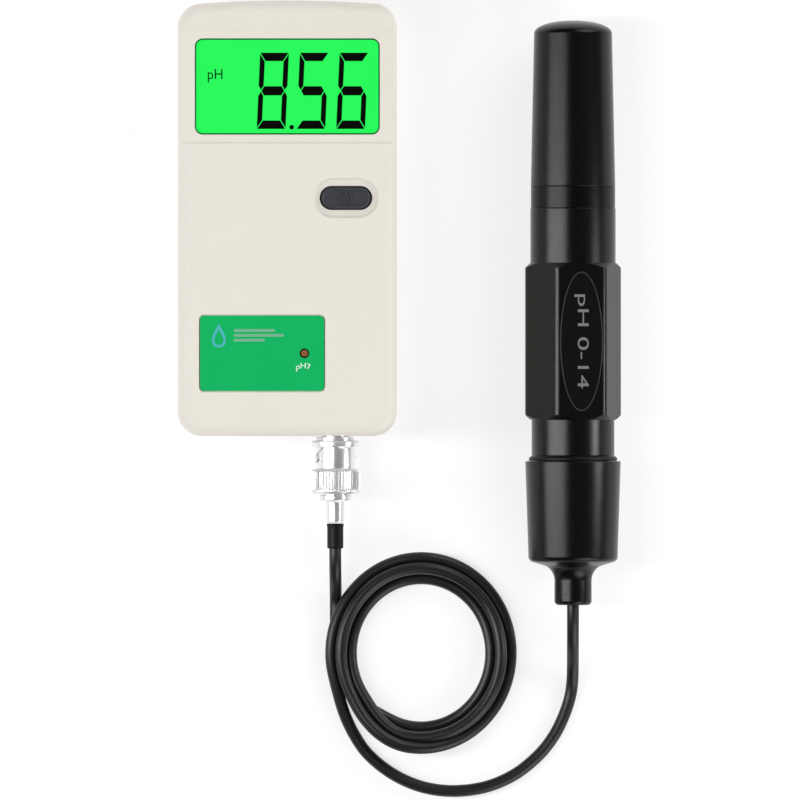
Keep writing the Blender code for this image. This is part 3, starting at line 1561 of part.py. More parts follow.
def make_electrode_body():
    body = piece(
        "electrode_body",
        slab(
            polygon(HEX_CORNER, 6, HEX_TILT + math.pi / 6 - math.pi / 2),
            HEX_START - OVERCUT,
            COLLAR_START + OVERCUT,
        ),
        "black_plastic",
        ELECTRODE,
    )
    combine(body, hex_barrel(), "INTERSECT")
    core = HEX_HALF * HEX_CORE
    shaft = helper(
        "shaft",
        turned(
            [
                (0.0, SPIGOT_START),
                (SPIGOT_RADIUS - GAP, SPIGOT_START),
                (SPIGOT_RADIUS, SPIGOT_START + GAP),
                (SPIGOT_RADIUS, NECK_START),
                (NECK_RADIUS, NECK_START),
                (NECK_RADIUS, HEX_START + GAP),
                (core, HEX_START + GAP),
                (core, COLLAR_START - GAP),
                (COLLAR_RADIUS - GAP / 3, COLLAR_START - GAP),
                (COLLAR_RADIUS - GAP / 3, BODY_END - GAP),
                (COLLAR_RADIUS - GAP, BODY_END),
                (0.0, BODY_END),
            ]
        ),
        ELECTRODE,
    )
    combine(body, shaft, "UNION")
    bore = helper(
        "body_bore",
        turned(
            [
                (0.0, SPIGOT_START - OVERCUT),
                (BODY_CHAMBER, SPIGOT_START - OVERCUT),
                (BODY_CHAMBER, CHAMBER_END),
                (TUBE_RADIUS, CHAMBER_END),
                (TUBE_RADIUS, STEM_START - GAP),
                (STEM_RADIUS + GAP, STEM_START - GAP),
                (STEM_RADIUS + GAP, BODY_END + OVERCUT),
                (0.0, BODY_END + OVERCUT),
            ],
            MEDIUM,
        ),
        ELECTRODE,
    )
    combine(body, bore, "DIFFERENCE")
    grown = (PANEL_HALF[0] + GAP, PANEL_HALF[1] + GAP)
    recess = helper(
        "panel_recess", on_hex_face(slab(ellipse(grown), -PANEL_RECESS, OVERCUT)), ELECTRODE
    )
    combine(body, recess, "DIFFERENCE")
    piece(
        "oval_panel",
        on_hex_face(slab(ellipse(PANEL_HALF), GAP - PANEL_RECESS, PANEL_PROUD)),
        "panel_grey",
        ELECTRODE,
    )


def make_seal_band():
    bore = STEM_RADIUS + GAP
    piece(
        "seal_band",
        turned(
            [
                (bore, SEAL_START),
                (SEAL_RADIUS - GAP, SEAL_START),
                (SEAL_RADIUS, SEAL_START + GAP),
                (SEAL_RADIUS, SEAL_END - GAP),
                (SEAL_RADIUS - GAP, SEAL_END),
                (SEAL_SPIGOT, SEAL_END),
                (SEAL_SPIGOT, SEAL_END + SEAL_SPIGOT_LENGTH - GAP),
                (SEAL_SPIGOT - GAP, SEAL_END + SEAL_SPIGOT_LENGTH),
                (bore, SEAL_END + SEAL_SPIGOT_LENGTH),
            ]
        ),
        "black_gloss",
        ELECTRODE,
    )


def make_stem():
    stem = piece(
        "electrode_stem",
        ring(STEM_RADIUS, STEM_BORE, STEM_START, STEM_END, FINE),
        "black_plastic",
        ELECTRODE,
    )
    half = GUARD_SLOT[0] / 2
    wide = 2 * STEM_RADIUS
    for name, half_x, half_y in (("x", wide, half), ("y", half, wide)):
        slot = helper(
            f"guard_slot_{name}",
            box(
                (-half_x, -half_y, STEM_END - GUARD_SLOT[1]),
                (half_x, half_y, STEM_END + OVERCUT),
            ),
            ELECTRODE,
        )
        combine(stem, slot, "DIFFERENCE")
    junction_at = STEM_END - JUNCTION_FROM_TIP
    hole = helper(
        "junction_hole",
        across_stem(
            cylinder(JUNCTION_RADIUS + GAP, STEM_BORE - OVERCUT, STEM_RADIUS + OVERCUT, COARSE),
            junction_at,
        ),
        ELECTRODE,
    )
    combine(stem, hole, "DIFFERENCE")
    piece(
        "reference_junction",
        across_stem(
            cylinder(JUNCTION_RADIUS, STEM_BORE, STEM_RADIUS - GAP / 3, COARSE), junction_at
        ),
        "white_ceramic",
        ELECTRODE,
    )
    stopper_start = STEM_START + GAP
    piece(
        "stem_stopper",
        ring(
            STEM_BORE - GAP,
            TUBE_RADIUS + GAP,
            stopper_start,
            stopper_start + STOPPER_THICKNESS,
        ),
        "black_rubber",
        ELECTRODE,
    )


def across_stem(shape, at):
    """Lays a cylinder that stands on Z across the electrode's axis, towards -Y of its own frame."""
    for vert in shape.verts:
        x, y, z = vert.co
        vert.co = (x, -z, at + y)
    return shape


def make_bulb():
    """A glass tube with a round bulb at its end, open at the back, as one wall."""
    inner = BULB_RADIUS - TUBE_WALL / 2
    outer_join = math.asin(TUBE_RADIUS / BULB_RADIUS)
    inner_join = math.asin(TUBE_BORE / inner)
    profile = []
    for step in range(END_STEPS + 1):
        angle = (math.pi - outer_join) * step / END_STEPS
        radius = BULB_RADIUS * math.sin(angle) if step else 0.0
        profile.append((radius, BULB_AT + BULB_RADIUS * math.cos(angle)))
    profile += [(TUBE_RADIUS, STEM_START), (TUBE_BORE, STEM_START)]
    for step in range(END_STEPS, -1, -1):
        angle = (math.pi - inner_join) * step / END_STEPS
        radius = inner * math.sin(angle) if step else 0.0
        profile.append((radius, BULB_AT + inner * math.cos(angle)))
    piece("glass_bulb", turned(profile, MEDIUM), "clear_glass", ELECTRODE)
    piece(
        "silver_wire",
        cylinder(WIRE_RADIUS, STEM_START + STOPPER_THICKNESS, BULB_AT, COARSE),
        "silver",
        ELECTRODE,
    )


def make_cap():
    """A hollow cap that tapers towards its domed end; the pad that keeps the bulb wet lies in it."""
    pocket = CAP_END - CAP_END_WALL
    profile = [(0.0, CAP_END)]
    for step in range(1, CORNER_STEPS + 1):
        angle = math.pi / 2 * step / CORNER_STEPS
        profile.append(
            (CAP_TOP_RADIUS * math.sin(angle), CAP_END - CAP_DOME * (1 - math.cos(angle)))
        )
    profile += [
        (CAP_MOUTH_RADIUS, CAP_START + GAP),
        (CAP_MOUTH_RADIUS - GAP, CAP_START),
        (CAP_BORE, CAP_START),
        (CAP_BORE, pocket - GAP),
        (CAP_BORE - GAP, pocket),
        (0.0, pocket),
    ]
    piece("electrode_cap", turned(profile), "black_plastic", ELECTRODE)
    piece(
        "cap_sponge",
        cylinder(CAP_BORE - 2 * GAP, pocket - GAP - SPONGE_THICKNESS, pocket - GAP),
        "sponge_foam",
        ELECTRODE,
    )


# --- Cable ----------------------------------------------------------------------------------------


def make_cord():
    tube("cord_lead", LEAD_ROUTE, CORD_RADIUS, "black_cable", CORD_SPACING)
    outer_x = COIL_OUTER[0]
    stretch = COIL_OUTER[1] / outer_x
    bore = outer_x - COIL_BAND
    chamfer = COIL_CHAMFER
    shape = turned(
        [
            (bore, chamfer),
            (bore + chamfer, 0.0),
            (outer_x - chamfer, 0.0),
            (outer_x, chamfer),
            (outer_x, COIL_HEIGHT - chamfer),
            (outer_x - chamfer, COIL_HEIGHT),
            (bore + chamfer, COIL_HEIGHT),
            (bore, COIL_HEIGHT - chamfer),
        ],
        COIL_STEPS,
    )
    bmesh.ops.scale(shape, vec=(1.0, stretch, 1.0), verts=shape.verts)
    piece("cord_coil", shape, "black_cable", place=(*COIL_CENTRE, 0.0))
    tube("cord_tail", TAIL_ROUTE, CORD_RADIUS, "black_cable", CORD_SPACING)


clear_scene()
CONNECTOR = axis_frame(
    "connector_axis", (CONNECTOR_X, -HALF_LENGTH, CONNECTOR_HEIGHT), math.pi / 2
)
ELECTRODE = axis_frame(
    "electrode_axis", (ELECTRODE_X, ELECTRODE_END_Y, ELECTRODE_Z), -math.pi / 2
)
make_front_case()
make_back_case()
make_battery_door()
make_case_screws()
make_display()
make_board()
make_power_button()
make_trimmer()
make_battery()
make_wires()
make_jack()
make_coupling_nut()
make_plug()
make_relief()
make_sleeve()
make_o_ring()
make_electrode_body()
make_seal_band()
make_stem()
make_bulb()
make_cap()
make_cord()
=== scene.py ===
"""A handheld pH meter, its coaxial cable and its capped electrode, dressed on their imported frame.

All sizes are in metres. The meter lies on its back with its display up (+Z) and its cable jack towards
-Y; the electrode lies beside it along +Y. Each piece's place is in its mesh, so every object stays at
the origin.
"""

import math

import bmesh
import bpy
import numpy as np
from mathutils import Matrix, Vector
from bpy.props import (
    FloatProperty,
    FloatVectorProperty,
    IntProperty,
    PointerProperty,
    StringProperty,
)


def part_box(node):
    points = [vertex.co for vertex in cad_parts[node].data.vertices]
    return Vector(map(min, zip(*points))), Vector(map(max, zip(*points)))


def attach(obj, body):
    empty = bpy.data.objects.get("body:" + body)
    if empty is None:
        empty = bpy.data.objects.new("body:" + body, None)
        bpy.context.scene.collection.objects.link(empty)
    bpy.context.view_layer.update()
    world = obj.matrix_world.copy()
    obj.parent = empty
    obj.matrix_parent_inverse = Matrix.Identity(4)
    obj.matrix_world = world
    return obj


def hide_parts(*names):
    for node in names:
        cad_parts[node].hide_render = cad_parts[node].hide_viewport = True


bl_info = {
    "name": "pH Meter",
    "version": (1, 0, 0),
    "blender": (4, 5, 0),
    "location": "View3D > Sidebar > pH Meter",
    "description": "A handheld pH meter with a lit display, a coiled cable and a capped electrode",
    "category": "Add Mesh",
}

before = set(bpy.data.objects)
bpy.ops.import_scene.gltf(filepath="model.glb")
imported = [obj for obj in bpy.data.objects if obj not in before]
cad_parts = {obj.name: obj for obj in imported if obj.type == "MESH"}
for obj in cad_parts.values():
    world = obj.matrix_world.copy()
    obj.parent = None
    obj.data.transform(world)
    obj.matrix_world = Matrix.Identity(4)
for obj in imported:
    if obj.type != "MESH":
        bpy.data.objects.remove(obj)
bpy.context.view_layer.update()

GAP = 0.0003                    # between two pieces that touch
MERGE = 0.0000002
OVERCUT = 0.001                 # how far a cutter runs past the face that it opens
METER = "meter"
PROBE = "probe"

# --- Places taken from the frame ------------------------------------------------------------------


def span(node):
    """Lowest corner, highest corner and centre of a CAD node, as arrays."""
    low, high = (np.array(corner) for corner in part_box(node))
    return low, high, (low + high) / 2


def radius_of(node):
    """Half of a turned CAD node's width."""
    low, high, _ = span(node)
    return (high[0] - low[0]) / 2


FRONT_LOW, FRONT_HIGH, _ = span("front_case")
BACK_HIGH = span("back_case")[1]
WINDOW_CENTRE = span("display_window")[2]
BUTTON_LOW, BUTTON_HIGH, BUTTON_CENTRE = span("power_button")
LABEL_LOW, LABEL_HIGH, LABEL_CENTRE = span("label_plate")
TRIMMER_CENTRE = span("trimmer_screw")[2]
DOOR_LOW, DOOR_HIGH, _ = span("battery_door")
CONNECTOR = span("bnc_nut")[2]
ELECTRODE = span("sleeve")[2]
HALF_WIDTH = FRONT_HIGH[0]
LOW_END = FRONT_LOW[1]
HIGH_END = FRONT_HIGH[1]
FACE = FRONT_HIGH[2]

# --- Cable route, as the frame lays it ------------------------------------------------------------

LEAD_ROUTE = [
    (0.01383, -0.0952, 0.0095),
    (0.01383, -0.0978, 0.0095),
    (0.01384, -0.1005, 0.00907),
    (0.01387, -0.1035, 0.00766),
    (0.01390, -0.10575, 0.00562),
    (0.01393, -0.1080, 0.00359),
    (0.01395, -0.1105, 0.00215),
    (0.01396, -0.1135, 0.00175),
    (0.0140, -0.1172, 0.00175),
    (0.0142, -0.1210, 0.00175),
    (0.0147, -0.1255, 0.00175),
    (0.01565, -0.1303, 0.00175),
]
TAIL_ROUTE = [
    (0.01435, -0.1364, 0.00175),
    (0.0165, -0.1437, 0.00175),
    (0.0196, -0.1502, 0.00175),
    (0.0237, -0.1558, 0.00175),
    (0.0307, -0.1613, 0.00175),
    (0.0390, -0.1649, 0.00175),
    (0.0480, -0.1661, 0.00175),
    (0.0575, -0.1649, 0.00175),
    (0.0659, -0.1613, 0.00175),
    (0.0728, -0.15575, 0.00175),
    (0.0772, -0.1502, 0.00175),
    (0.0800, -0.1447, 0.00175),
    (0.0819, -0.1391, 0.00175),
    (0.0826, -0.1345, 0.00248),
    (0.08275, -0.1295, 0.00489),
    (0.08275, -0.12625, 0.0078),
    (0.08275, -0.1230, 0.01071),
    (0.08275, -0.1180, 0.01312),
    (0.08275, -0.1145, 0.01380),
    (0.08275, -0.1118, 0.01385),
]
COIL_CENTRE = np.array((0.0387, -0.126))
STRANDS = np.array([(0.02035, 0.02165), (0.0232, 0.0246), (0.02605, 0.02755)])
LANES = np.array(               # angle in degrees, and the lane that a strand leaves or reaches there
    [(201.0, 1.0), (241.0, 0.0), (573.0, 0.0), (621.0, 1.0), (923.0, 1.0), (982.0, 2.0), (1268.0, 2.0)]
)
COIL_START, COIL_END = LANES[0, 0], LANES[-1, 0]

# --- Settings ---------------------------------------------------------------------------------------


def length(name, description, default):
    return FloatProperty(
        name=name, description=description, default=default, precision=5, subtype="DISTANCE", unit="LENGTH"
    )


def linear(red, green, blue):
    """A colour in the 0 to 255 steps of a screen, as the values that shaders use."""
    return tuple(
        value / 12.92 if value <= 0.04045 else ((value + 0.055) / 1.055) ** 2.4
        for value in (red / 255, green / 255, blue / 255)
    )


def colour(name, description, *steps):
    """A colour setting. Its default is given in the 0 to 255 steps of a screen."""
    return FloatVectorProperty(
        name=name, description=description, default=linear(*steps), size=3, min=0.0, max=1.0, subtype="COLOR"
    )


class CaseSettings(bpy.types.PropertyGroup):
    corner: length("Corner", "Radius of the case's corners seen from the front", 0.007)
    bow: length("Bow", "Radius of the bowed top end", 0.36)
    front_edge: length("Front edge", "Rounding of the front face's edge", 0.003)
    back_edge: length("Back edge", "Rounding of the back face's edge", 0.0025)
    wall: length("Wall", "Thickness of the shells", 0.0022)
    window_width: length("Window width", "Width of the display window's hole", 0.0535)
    window_height: length("Window height", "Height of the display window's hole", 0.0278)
    window_corner: length("Window corner", "Corner radius of the display window", 0.0023)
    band_depth: length("Band depth", "Depth of the strip round the window", 0.0006)
    band_margin: length("Band margin", "Strip above and below the window", 0.0022)
    dish_width: length("Dish width", "Width of the dish round the button", 0.0194)
    dish_height: length("Dish height", "Height of the dish round the button", 0.0121)
    dish_depth: length("Dish depth", "Depth of the dish round the button", 0.0013)
    boss: length("Screw boss", "Radius of the bosses that the case screws run into", 0.003)
    post: length("Board post", "Radius of the posts that the board screws run into", 0.0025)
    ivory: colour("Ivory", "Colour of the case", 231, 226, 216)


class DisplaySettings(bpy.types.PropertyGroup):
    reading: StringProperty(name="Reading", description="Digits on the display", default="8.56")
    unit: StringProperty(name="Unit", description="What the display reads", default="pH")
    digit_width: length("Digit width", "Width of a digit", 0.0086)
    digit_height: length("Digit height", "Height of a digit", 0.0223)
    digit_pitch: length("Digit pitch", "From one digit to the next", 0.01150)
    slant: FloatProperty(
        name="Slant",
        description="Lean of the digits",
        default=math.radians(2.6),
        subtype="ANGLE",
        unit="ROTATION",
    )
    glow: colour("Glow", "Colour of the lit display", 38, 247, 91)


class LabelSettings(bpy.types.PropertyGroup):
    mark: StringProperty(name="Mark", description="Mark under the calibration screw", default="pH7")
    hole: length("Hole", "Radius of the hole over the calibration screw", 0.0014)
    green: colour("Green", "Colour of the front label", 4, 178, 94)


class ConnectorSettings(bpy.types.PropertyGroup):
    knurls: IntProperty(name="Knurls", description="Ridges round the coupling nut", default=52, min=8)
    knurl_depth: length("Knurl depth", "Depth of the grooves between the ridges", 0.00028)
    lug_angle: FloatProperty(
        name="Lug angle", description="Turn of the jack's lugs about its axis", default=math.radians(-20.0),
        subtype="ANGLE", unit="ROTATION",
    )
    lug_at: length("Lugs at", "Distance of the lugs from the case", 0.0066)


class ElectrodeSettings(bpy.types.PropertyGroup):
    flats: length("Flats", "Hexagon across its flats", 0.025)
    tilt: FloatProperty(
        name="Tilt",
        description="Turn of the hexagon about its axis",
        default=math.radians(11.0),
        subtype="ANGLE",
    )
    hex_edge: length("Hexagon edge", "Rounding of the hexagon's edges", 0.0020)
    mark: StringProperty(name="Mark", description="Words on the oval panel", default="pH 0-14")


class CordSettings(bpy.types.PropertyGroup):
    diameter: length("Diameter", "Diameter of the cable", 0.0035)


class StageSettings(bpy.types.PropertyGroup):
    lens: FloatProperty(name="Lens", description="Focal length of the camera, in millimetres", default=1200.0)
    sky: FloatProperty(name="Sky", description="Brightness of the room round the table", default=0.10)
    table_glow: FloatProperty(
        name="Table glow", description="Light that the table gives by itself", default=0.70
    )
    field: length("Field", "Width of table that the camera takes in", 0.2319)
    centre_x: length("Centre X", "Middle of the view, across", 0.0326)
    centre_y: length("Centre Y", "Middle of the view, along", -0.0526)


class PartSettings(bpy.types.PropertyGroup):
    case: PointerProperty(type=CaseSettings)
    display: PointerProperty(type=DisplaySettings)
    label: PointerProperty(type=LabelSettings)
    connector: PointerProperty(type=ConnectorSettings)
    electrode: PointerProperty(type=ElectrodeSettings)
    cord: PointerProperty(type=CordSettings)
    stage: PointerProperty(type=StageSettings)


def settings():
    return bpy.context.scene.ph_meter


# --- Outlines: arrays of (x, y) points running counter-clockwise ----------------------------------


def arc(centre, radius, start, end, count):
    """Points on a circle: centre plus radius times the cosine and sine of evenly spaced angles."""
    angle = np.linspace(start, end, count)
    return np.stack([centre[0] + radius * np.cos(angle), centre[1] + radius * np.sin(angle)], axis=-1)


def rounded_rectangle(width, height, corner, centre=(0.0, 0.0), count=14):
    """Four quarter circles whose centres stand a corner radius inside the rectangle's corners."""
    reach_x = width / 2 - corner
    reach_y = height / 2 - corner
    quarter = math.pi / 2
    corners = ((1, 1), (-1, 1), (-1, -1), (1, -1))
    return np.vstack(
        [
            arc(
                (centre[0] + x * reach_x, centre[1] + y * reach_y),
                corner,
                index * quarter,
                (index + 1) * quarter,
                count,
            )
            for index, (x, y) in enumerate(corners)
        ]
    )


def ellipse(half_x, half_y, count=96):
    """Half sizes times the cosine and sine of evenly spaced angles."""
    angle = np.arange(count) * math.tau / count
    return np.stack([half_x * np.cos(angle), half_y * np.sin(angle)], axis=-1)


def case_outline(inset):
    """Quarter circles at the lower corners, rounder ones at the upper, and a wide arc that bows the top.

    The upper corners touch the bow where the line between the two centres meets them both. Moving the
    outline in by the inset takes it off every radius.
    """
    case = settings().case
    corner_x = HALF_WIDTH - case.corner
    low_y = LOW_END + case.corner
    bow_y = HIGH_END - case.bow
    high_y = bow_y + math.sqrt((case.bow - case.corner) ** 2 - corner_x**2)
    touch = math.atan2(high_y - bow_y, corner_x)
    radius = case.corner - inset
    return np.vstack(
        [
            arc((corner_x, low_y), radius, -math.pi / 2, 0.0, 16),
            arc((corner_x, high_y), radius, 0.0, touch, 16),
            arc((0.0, bow_y), case.bow - inset, touch, math.pi - touch, 26)[1:-1],
            arc((-corner_x, high_y), radius, math.pi - touch, math.pi, 16),
            arc((-corner_x, low_y), radius, math.pi, 1.5 * math.pi, 16),
        ]
    )


def rounded_line(points, radii, count=6):
    """A run of straight lines with its inner corners rounded.

    A corner gives way to the arc that touches both of its lines: the arc's centre lies on the line that
    halves the corner, and the points between the two touching points turn evenly about it.
    """
    corners = np.asarray(points, dtype=float)
    parts = [corners[:1]]
    for before, corner, after, radius in zip(corners, corners[1:], corners[2:], radii):
        if radius == 0.0:
            parts.append(corner[None])
            continue
        back = (before - corner) / np.linalg.norm(before - corner)
        ahead = (after - corner) / np.linalg.norm(after - corner)
        half = math.acos(np.clip(back @ ahead, -1.0, 1.0)) / 2
        middle = corner + (back + ahead) / np.linalg.norm(back + ahead) * radius / math.sin(half)
        first = corner + back * radius / math.tan(half) - middle
        last = corner + ahead * radius / math.tan(half) - middle
        turn = math.pi - 2 * half
        share = np.linspace(0.0, 1.0, count)[:, None]
        swing = np.sin((1 - share) * turn) * first + np.sin(share * turn) * last
        parts.append(middle + swing / math.sin(turn))
    parts.append(corners[-1:])
    return np.vstack(parts)


def quarter_round(radius, count=9):
    """How far in and how far down each point of a quarter circle lies, from its upright end."""
    angle = np.linspace(0.0, math.pi / 2, count)
    return radius * (1 - np.cos(angle)), radius * (1 - np.sin(angle))


def grown(outline, amount):
    """A convex outline moved outwards along the directions halfway between its edges' normals."""
    ahead = np.roll(outline, -1, axis=0) - outline
    keep = np.linalg.norm(ahead, axis=1) > MERGE
    outline = outline[keep]
    ahead = np.roll(outline, -1, axis=0) - outline
    normal = np.stack([ahead[:, 1], -ahead[:, 0]], axis=-1)
    normal /= np.linalg.norm(normal, axis=1)[:, None]
    both = normal + np.roll(normal, 1, axis=0)
    return outline + amount * 2 * both / (both**2).sum(axis=1)[:, None]


# --- Surfaces -------------------------------------------------------------------------------------


def points(x, y, z):
    """Points from their three coordinates, each spread to the shape that the three share."""
    return np.stack(np.broadcast_arrays(x, y, z), axis=-1)


def around(axis, radius, angle, y):
    """Points round a line along Y: the axis plus the radius times the cosine and sine of the angle."""
    return points(axis[0] + radius * np.cos(angle), y, axis[2] + radius * np.sin(angle))


def circle(count):
    """Evenly spaced angles once round."""
    return np.arange(count) * math.tau / count


def rod(radius, low, high):
    """The profile of a solid cylinder."""
    return np.array([(0.0, low), (radius, low), (radius, high), (0.0, high)])


def placed(name, mesh):
    """A new object in the scene that shows the mesh."""
    made = bpy.data.objects.new(name, mesh)
    bpy.context.scene.collection.objects.link(made)
    return made


def as_seen(piece):
    """A new mesh of a piece as its modifiers, or its curves, make it."""
    bpy.context.view_layer.update()
    return bpy.data.meshes.new_from_object(piece.evaluated_get(bpy.context.evaluated_depsgraph_get()))


def corners_of(mesh):
    """A mesh's points as rows of three coordinates."""
    flat = np.zeros(len(mesh.vertices) * 3)
    mesh.vertices.foreach_get("co", flat)
    return flat.reshape(-1, 3)


def surface(name, grid, ring=False):
    """A closed mesh over a grid of points whose rows are closed loops.

    Each point joins the next in its row and the one above it. The first and last rows are filled, or
    joined to each other for a ring. Rows on the axis shrink to one point when doubles are merged.
    """
    rows, columns = grid.shape[:2]
    index = np.arange(rows * columns).reshape(rows, columns)
    if ring:
        index = np.vstack([index, index[:1]])
    low, high = index[:-1], index[1:]
    quads = np.stack([low, np.roll(low, -1, axis=1), np.roll(high, -1, axis=1), high], axis=-1)
    faces = quads.reshape(-1, 4).tolist()
    if not ring:
        faces += [index[0, ::-1].tolist(), index[-1].tolist()]
    mesh = bpy.data.meshes.new(name)
    mesh.from_pydata(grid.reshape(-1, 3), [], faces)
    shape = bmesh.new()
    shape.from_mesh(mesh)
    bmesh.ops.remove_doubles(shape, verts=shape.verts, dist=MERGE)
    bmesh.ops.recalc_face_normals(shape, faces=shape.faces)
    shape.to_mesh(mesh)
    shape.free()
    return placed(name, mesh)


def loft(name, outlines, heights, ring=False):
    """A solid through outlines of the same number of points, one at each height."""
    outlines = np.asarray(outlines)
    return surface(name, points(outlines[..., 0], outlines[..., 1], np.asarray(heights)[:, None]), ring)


def slab(name, outline, low, high):
    """A plate with the same outline at its lower and upper face."""
    return loft(name, [outline, outline], [low, high])


def block(name, low, high):
    """A box between its lowest and its highest corner."""
    outline = np.array([(low[0], low[1]), (high[0], low[1]), (high[0], high[1]), (low[0], high[1])])
    return slab(name, outline, low[2], high[2])


def along_x(name, outline, low, high):
    """A prism whose outline lies in Y and Z and which runs along X."""
    return surface(name, points(np.array([[low], [high]]), outline[:, 0], outline[:, 1]))


def along_y(name, outline, low, high):
    """A prism whose outline lies in X and Z and which runs along Y."""
    return surface(name, points(outline[:, 0], np.array([[low], [high]]), outline[:, 1]))


def turned(name, profile, axis, count=96, ring=False):
    """A profile of (radius, Y) points carried once round the line along Y through the axis point."""
    profile = np.asarray(profile)
    return surface(name, around(axis, profile[:, :1], circle(count), profile[:, 1:]), ring)


def upright(name, profile, centre, count=48):
    """A profile of (radius, Z) points carried once round the upright line through the centre.

    A point stands at the centre plus its radius times the cosine and sine of the angle.
    """
    profile = np.asarray(profile)
    radius, angle = profile[:, :1], circle(count)
    return surface(
        name, points(centre[0] + radius * np.cos(angle), centre[1] + radius * np.sin(angle), profile[:, 1:])
    )


def combined(target, cutters, operation="DIFFERENCE"):
    """The target cut by, joined to or bounded by each cutter in turn. The cutters are used up."""
    for cutter in cutters:
        modifier = target.modifiers.new(cutter.name, "BOOLEAN")
        modifier.operation = operation
        modifier.solver = "EXACT"
        modifier.object = cutter
    result = as_seen(target)
    target.modifiers.clear()
    target.data = result
    for cutter in cutters:
        bpy.data.objects.remove(cutter)
    return target


def lettering(name, text, width, height, centre, low, high, bend=0.0):
    """Raised letters made a mesh, then stretched to a width and a height about a centre.

    With a bend, a point drops by the bend times the square of its share of the half width.
    """
    curve = bpy.data.curves.new(name, "FONT")
    curve.body = text
    curve.extrude = 0.05
    curve.resolution_u = 6
    writer = placed(name, curve)
    mesh = as_seen(writer)
    bpy.data.objects.remove(writer)
    letters = corners_of(mesh)
    least, most = letters.min(axis=0), letters.max(axis=0)
    share = (letters - least) / (most - least)
    x = centre[0] + width * (share[:, 0] - 0.5)
    y = centre[1] + height * (share[:, 1] - 0.5) - bend * (2 * share[:, 0] - 1) ** 2
    z = low + (high - low) * share[:, 2]
    mesh.vertices.foreach_set("co", points(x, y, z).ravel())
    return placed(name, mesh)


def merged(name, pieces):
    """Several flat pieces as one object."""
    shape = bmesh.new()
    for piece in pieces:
        shape.from_mesh(piece.data)
        bpy.data.objects.remove(piece)
    mesh = bpy.data.meshes.new(name)
    shape.to_mesh(mesh)
    shape.free()
    return placed(name, mesh)


def finished(piece, body, finish, nodes=(), sharp=32.0):
    """Gives a piece its finish, smooth shading up to the sharp angle, its body and the nodes it replaces."""
    mesh = piece.data
    mesh.materials.clear()
    mesh.materials.append(material(finish))
    mesh.shade_smooth()
    mesh.set_sharp_from_angle(angle=math.radians(sharp))
    weight = piece.modifiers.new("even shading", "WEIGHTED_NORMAL")
    weight.keep_sharp = True
    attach(piece, body)
    if nodes:
        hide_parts(*nodes)
    return piece


# --- Finishes -------------------------------------------------------------------------------------


class Field:
    """A value that varies over a surface. Arithmetic on it adds Math nodes to its tree."""

    def __init__(self, tree, socket):
        self.tree = tree
        self.socket = socket

    def calculated(self, operation, first, second):
        """One Math node whose two entries are values or other fields."""
        node = self.tree.nodes.new("ShaderNodeMath")
        node.operation = operation
        for entry, value in zip(node.inputs, (first, second)):
            if isinstance(value, Field):
                self.tree.links.new(value.socket, entry)
            else:
                entry.default_value = value
        return Field(self.tree, node.outputs[0])

    def __add__(self, other):
        return self.calculated("ADD", self, other)

    def __radd__(self, other):
        return self.calculated("ADD", other, self)

    def __sub__(self, other):
        return self.calculated("SUBTRACT", self, other)

    def __rsub__(self, other):
        return self.calculated("SUBTRACT", other, self)

    def __mul__(self, other):
        return self.calculated("MULTIPLY", self, other)

    def __rmul__(self, other):
        return self.calculated("MULTIPLY", other, self)

    def __truediv__(self, other):
        return self.calculated("DIVIDE", self, other)

    def above(self, edge):
        """1 where the value is over the edge, and 0 elsewhere."""
        return self.calculated("GREATER_THAN", self, edge)

    def most(self, other):
        """The larger of the value and the other one."""
        return self.calculated("MAXIMUM", self, other)


